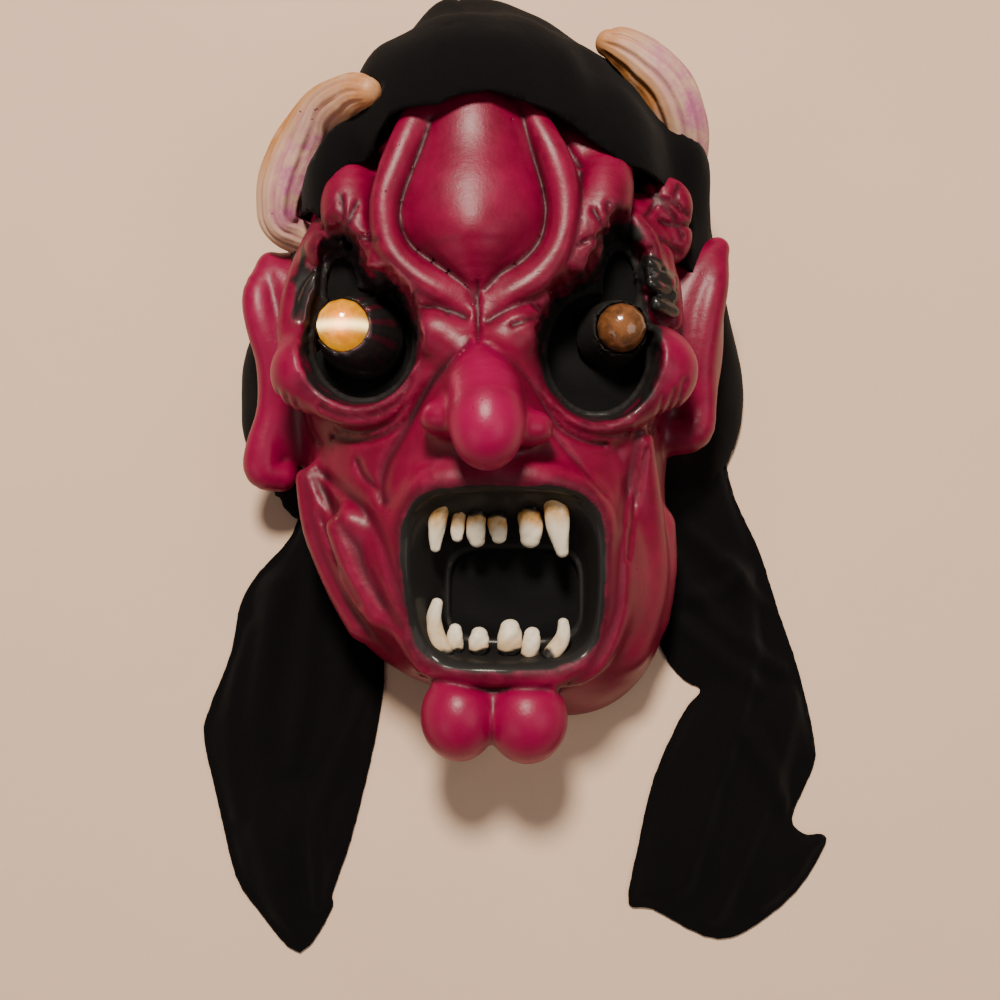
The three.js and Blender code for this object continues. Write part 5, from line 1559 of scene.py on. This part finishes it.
class DEVILMASK_OT_stage(bpy.types.Operator):
    """Pale table, soft studio light and the camera looking down on the mask"""

    bl_idname = "devilmask.stage"
    bl_label = "Stage"

    def execute(self, context):
        _, colours = settings()
        corners = [(TABLE_SIDE * x, TABLE_SIDE * y, 0) for x, y in ((-1, -1), (1, -1), (1, 1), (-1, 1))]
        table = new_object("table", corners, [(0, 1, 2, 3)], floor_material(colours), smooth=False)
        world = bpy.data.worlds.new("Studio")
        bpy.context.scene.world = world
        world.use_nodes = True
        background = world.node_tree.nodes["Background"]
        background.inputs["Color"].default_value = (1.0, 0.95, 0.9, 1)
        background.inputs["Strength"].default_value = 0.13
        for name, spot, size, power, tone in LIGHTS:
            data = bpy.data.lights.new(name, "AREA")
            data.shape = "DISK"
            data.size = size
            data.energy = power
            data.color = tone
            lamp = placed(name, data)
            lamp.location = spot
            way = Vector(np.subtract(LIGHT_TARGET, spot))
            lamp.rotation_euler = way.to_track_quat("-Z", "Y").to_euler()
        glow = bpy.data.lights.new("lens_glow", "POINT")
        glow.energy = 0.02
        glow.color = (1.0, 0.35, 0.5)
        glow.shadow_soft_size = 0.008
        placed("lens_glow", glow).location = to_row([GLOW_SPOT])[0]
        data = bpy.data.cameras.new("camera")
        data.sensor_fit = "AUTO"
        data.angle = 2 * math.atan(HALF_VIEW)
        data.clip_start = 0.01
        camera = placed("camera", data)
        camera.location = to_row([CAMERA_SPOT])[0]
        camera.rotation_euler = (FACE_TILT, 0, 0)
        bpy.context.scene.camera = camera
        return {"FINISHED"}


class DEVILMASK_PT_panel(bpy.types.Panel):
    """Lists the mask's pieces, sizes and colours"""

    bl_idname = "DEVILMASK_PT_panel"
    bl_label = "Devil Mask"
    bl_space_type = "VIEW_3D"
    bl_region_type = "UI"
    bl_category = "Devil Mask"

    def draw(self, context):
        column = self.layout.column()
        for operator in OPERATORS:
            column.operator(operator.bl_idname)
        for group_name in ("devil_mask_sizes", "devil_mask_colours"):
            values = getattr(context.scene, group_name)
            box = self.layout.box()
            for name in values.__annotations__:
                box.prop(values, name)


OPERATORS = (
    DEVILMASK_OT_latex,
    DEVILMASK_OT_horns,
    DEVILMASK_OT_teeth,
    DEVILMASK_OT_lenses,
    DEVILMASK_OT_scrims,
    DEVILMASK_OT_hood,
    DEVILMASK_OT_flaps,
    DEVILMASK_OT_stage,
)
CLASSES = (DevilMaskSizes, DevilMaskColours, *OPERATORS, DEVILMASK_PT_panel)


def register():
    for made in CLASSES:
        bpy.utils.register_class(made)
    bpy.types.Scene.devil_mask_sizes = PointerProperty(type=DevilMaskSizes)
    bpy.types.Scene.devil_mask_colours = PointerProperty(type=DevilMaskColours)


def unregister():
    del bpy.types.Scene.devil_mask_colours
    del bpy.types.Scene.devil_mask_sizes
    for made in reversed(CLASSES):
        bpy.utils.unregister_class(made)


def main():
    register()
    for operator in OPERATORS:
        family, name = operator.bl_idname.split(".")
        getattr(getattr(bpy.ops, family), name)()


if __name__ == "__main__":
    main()
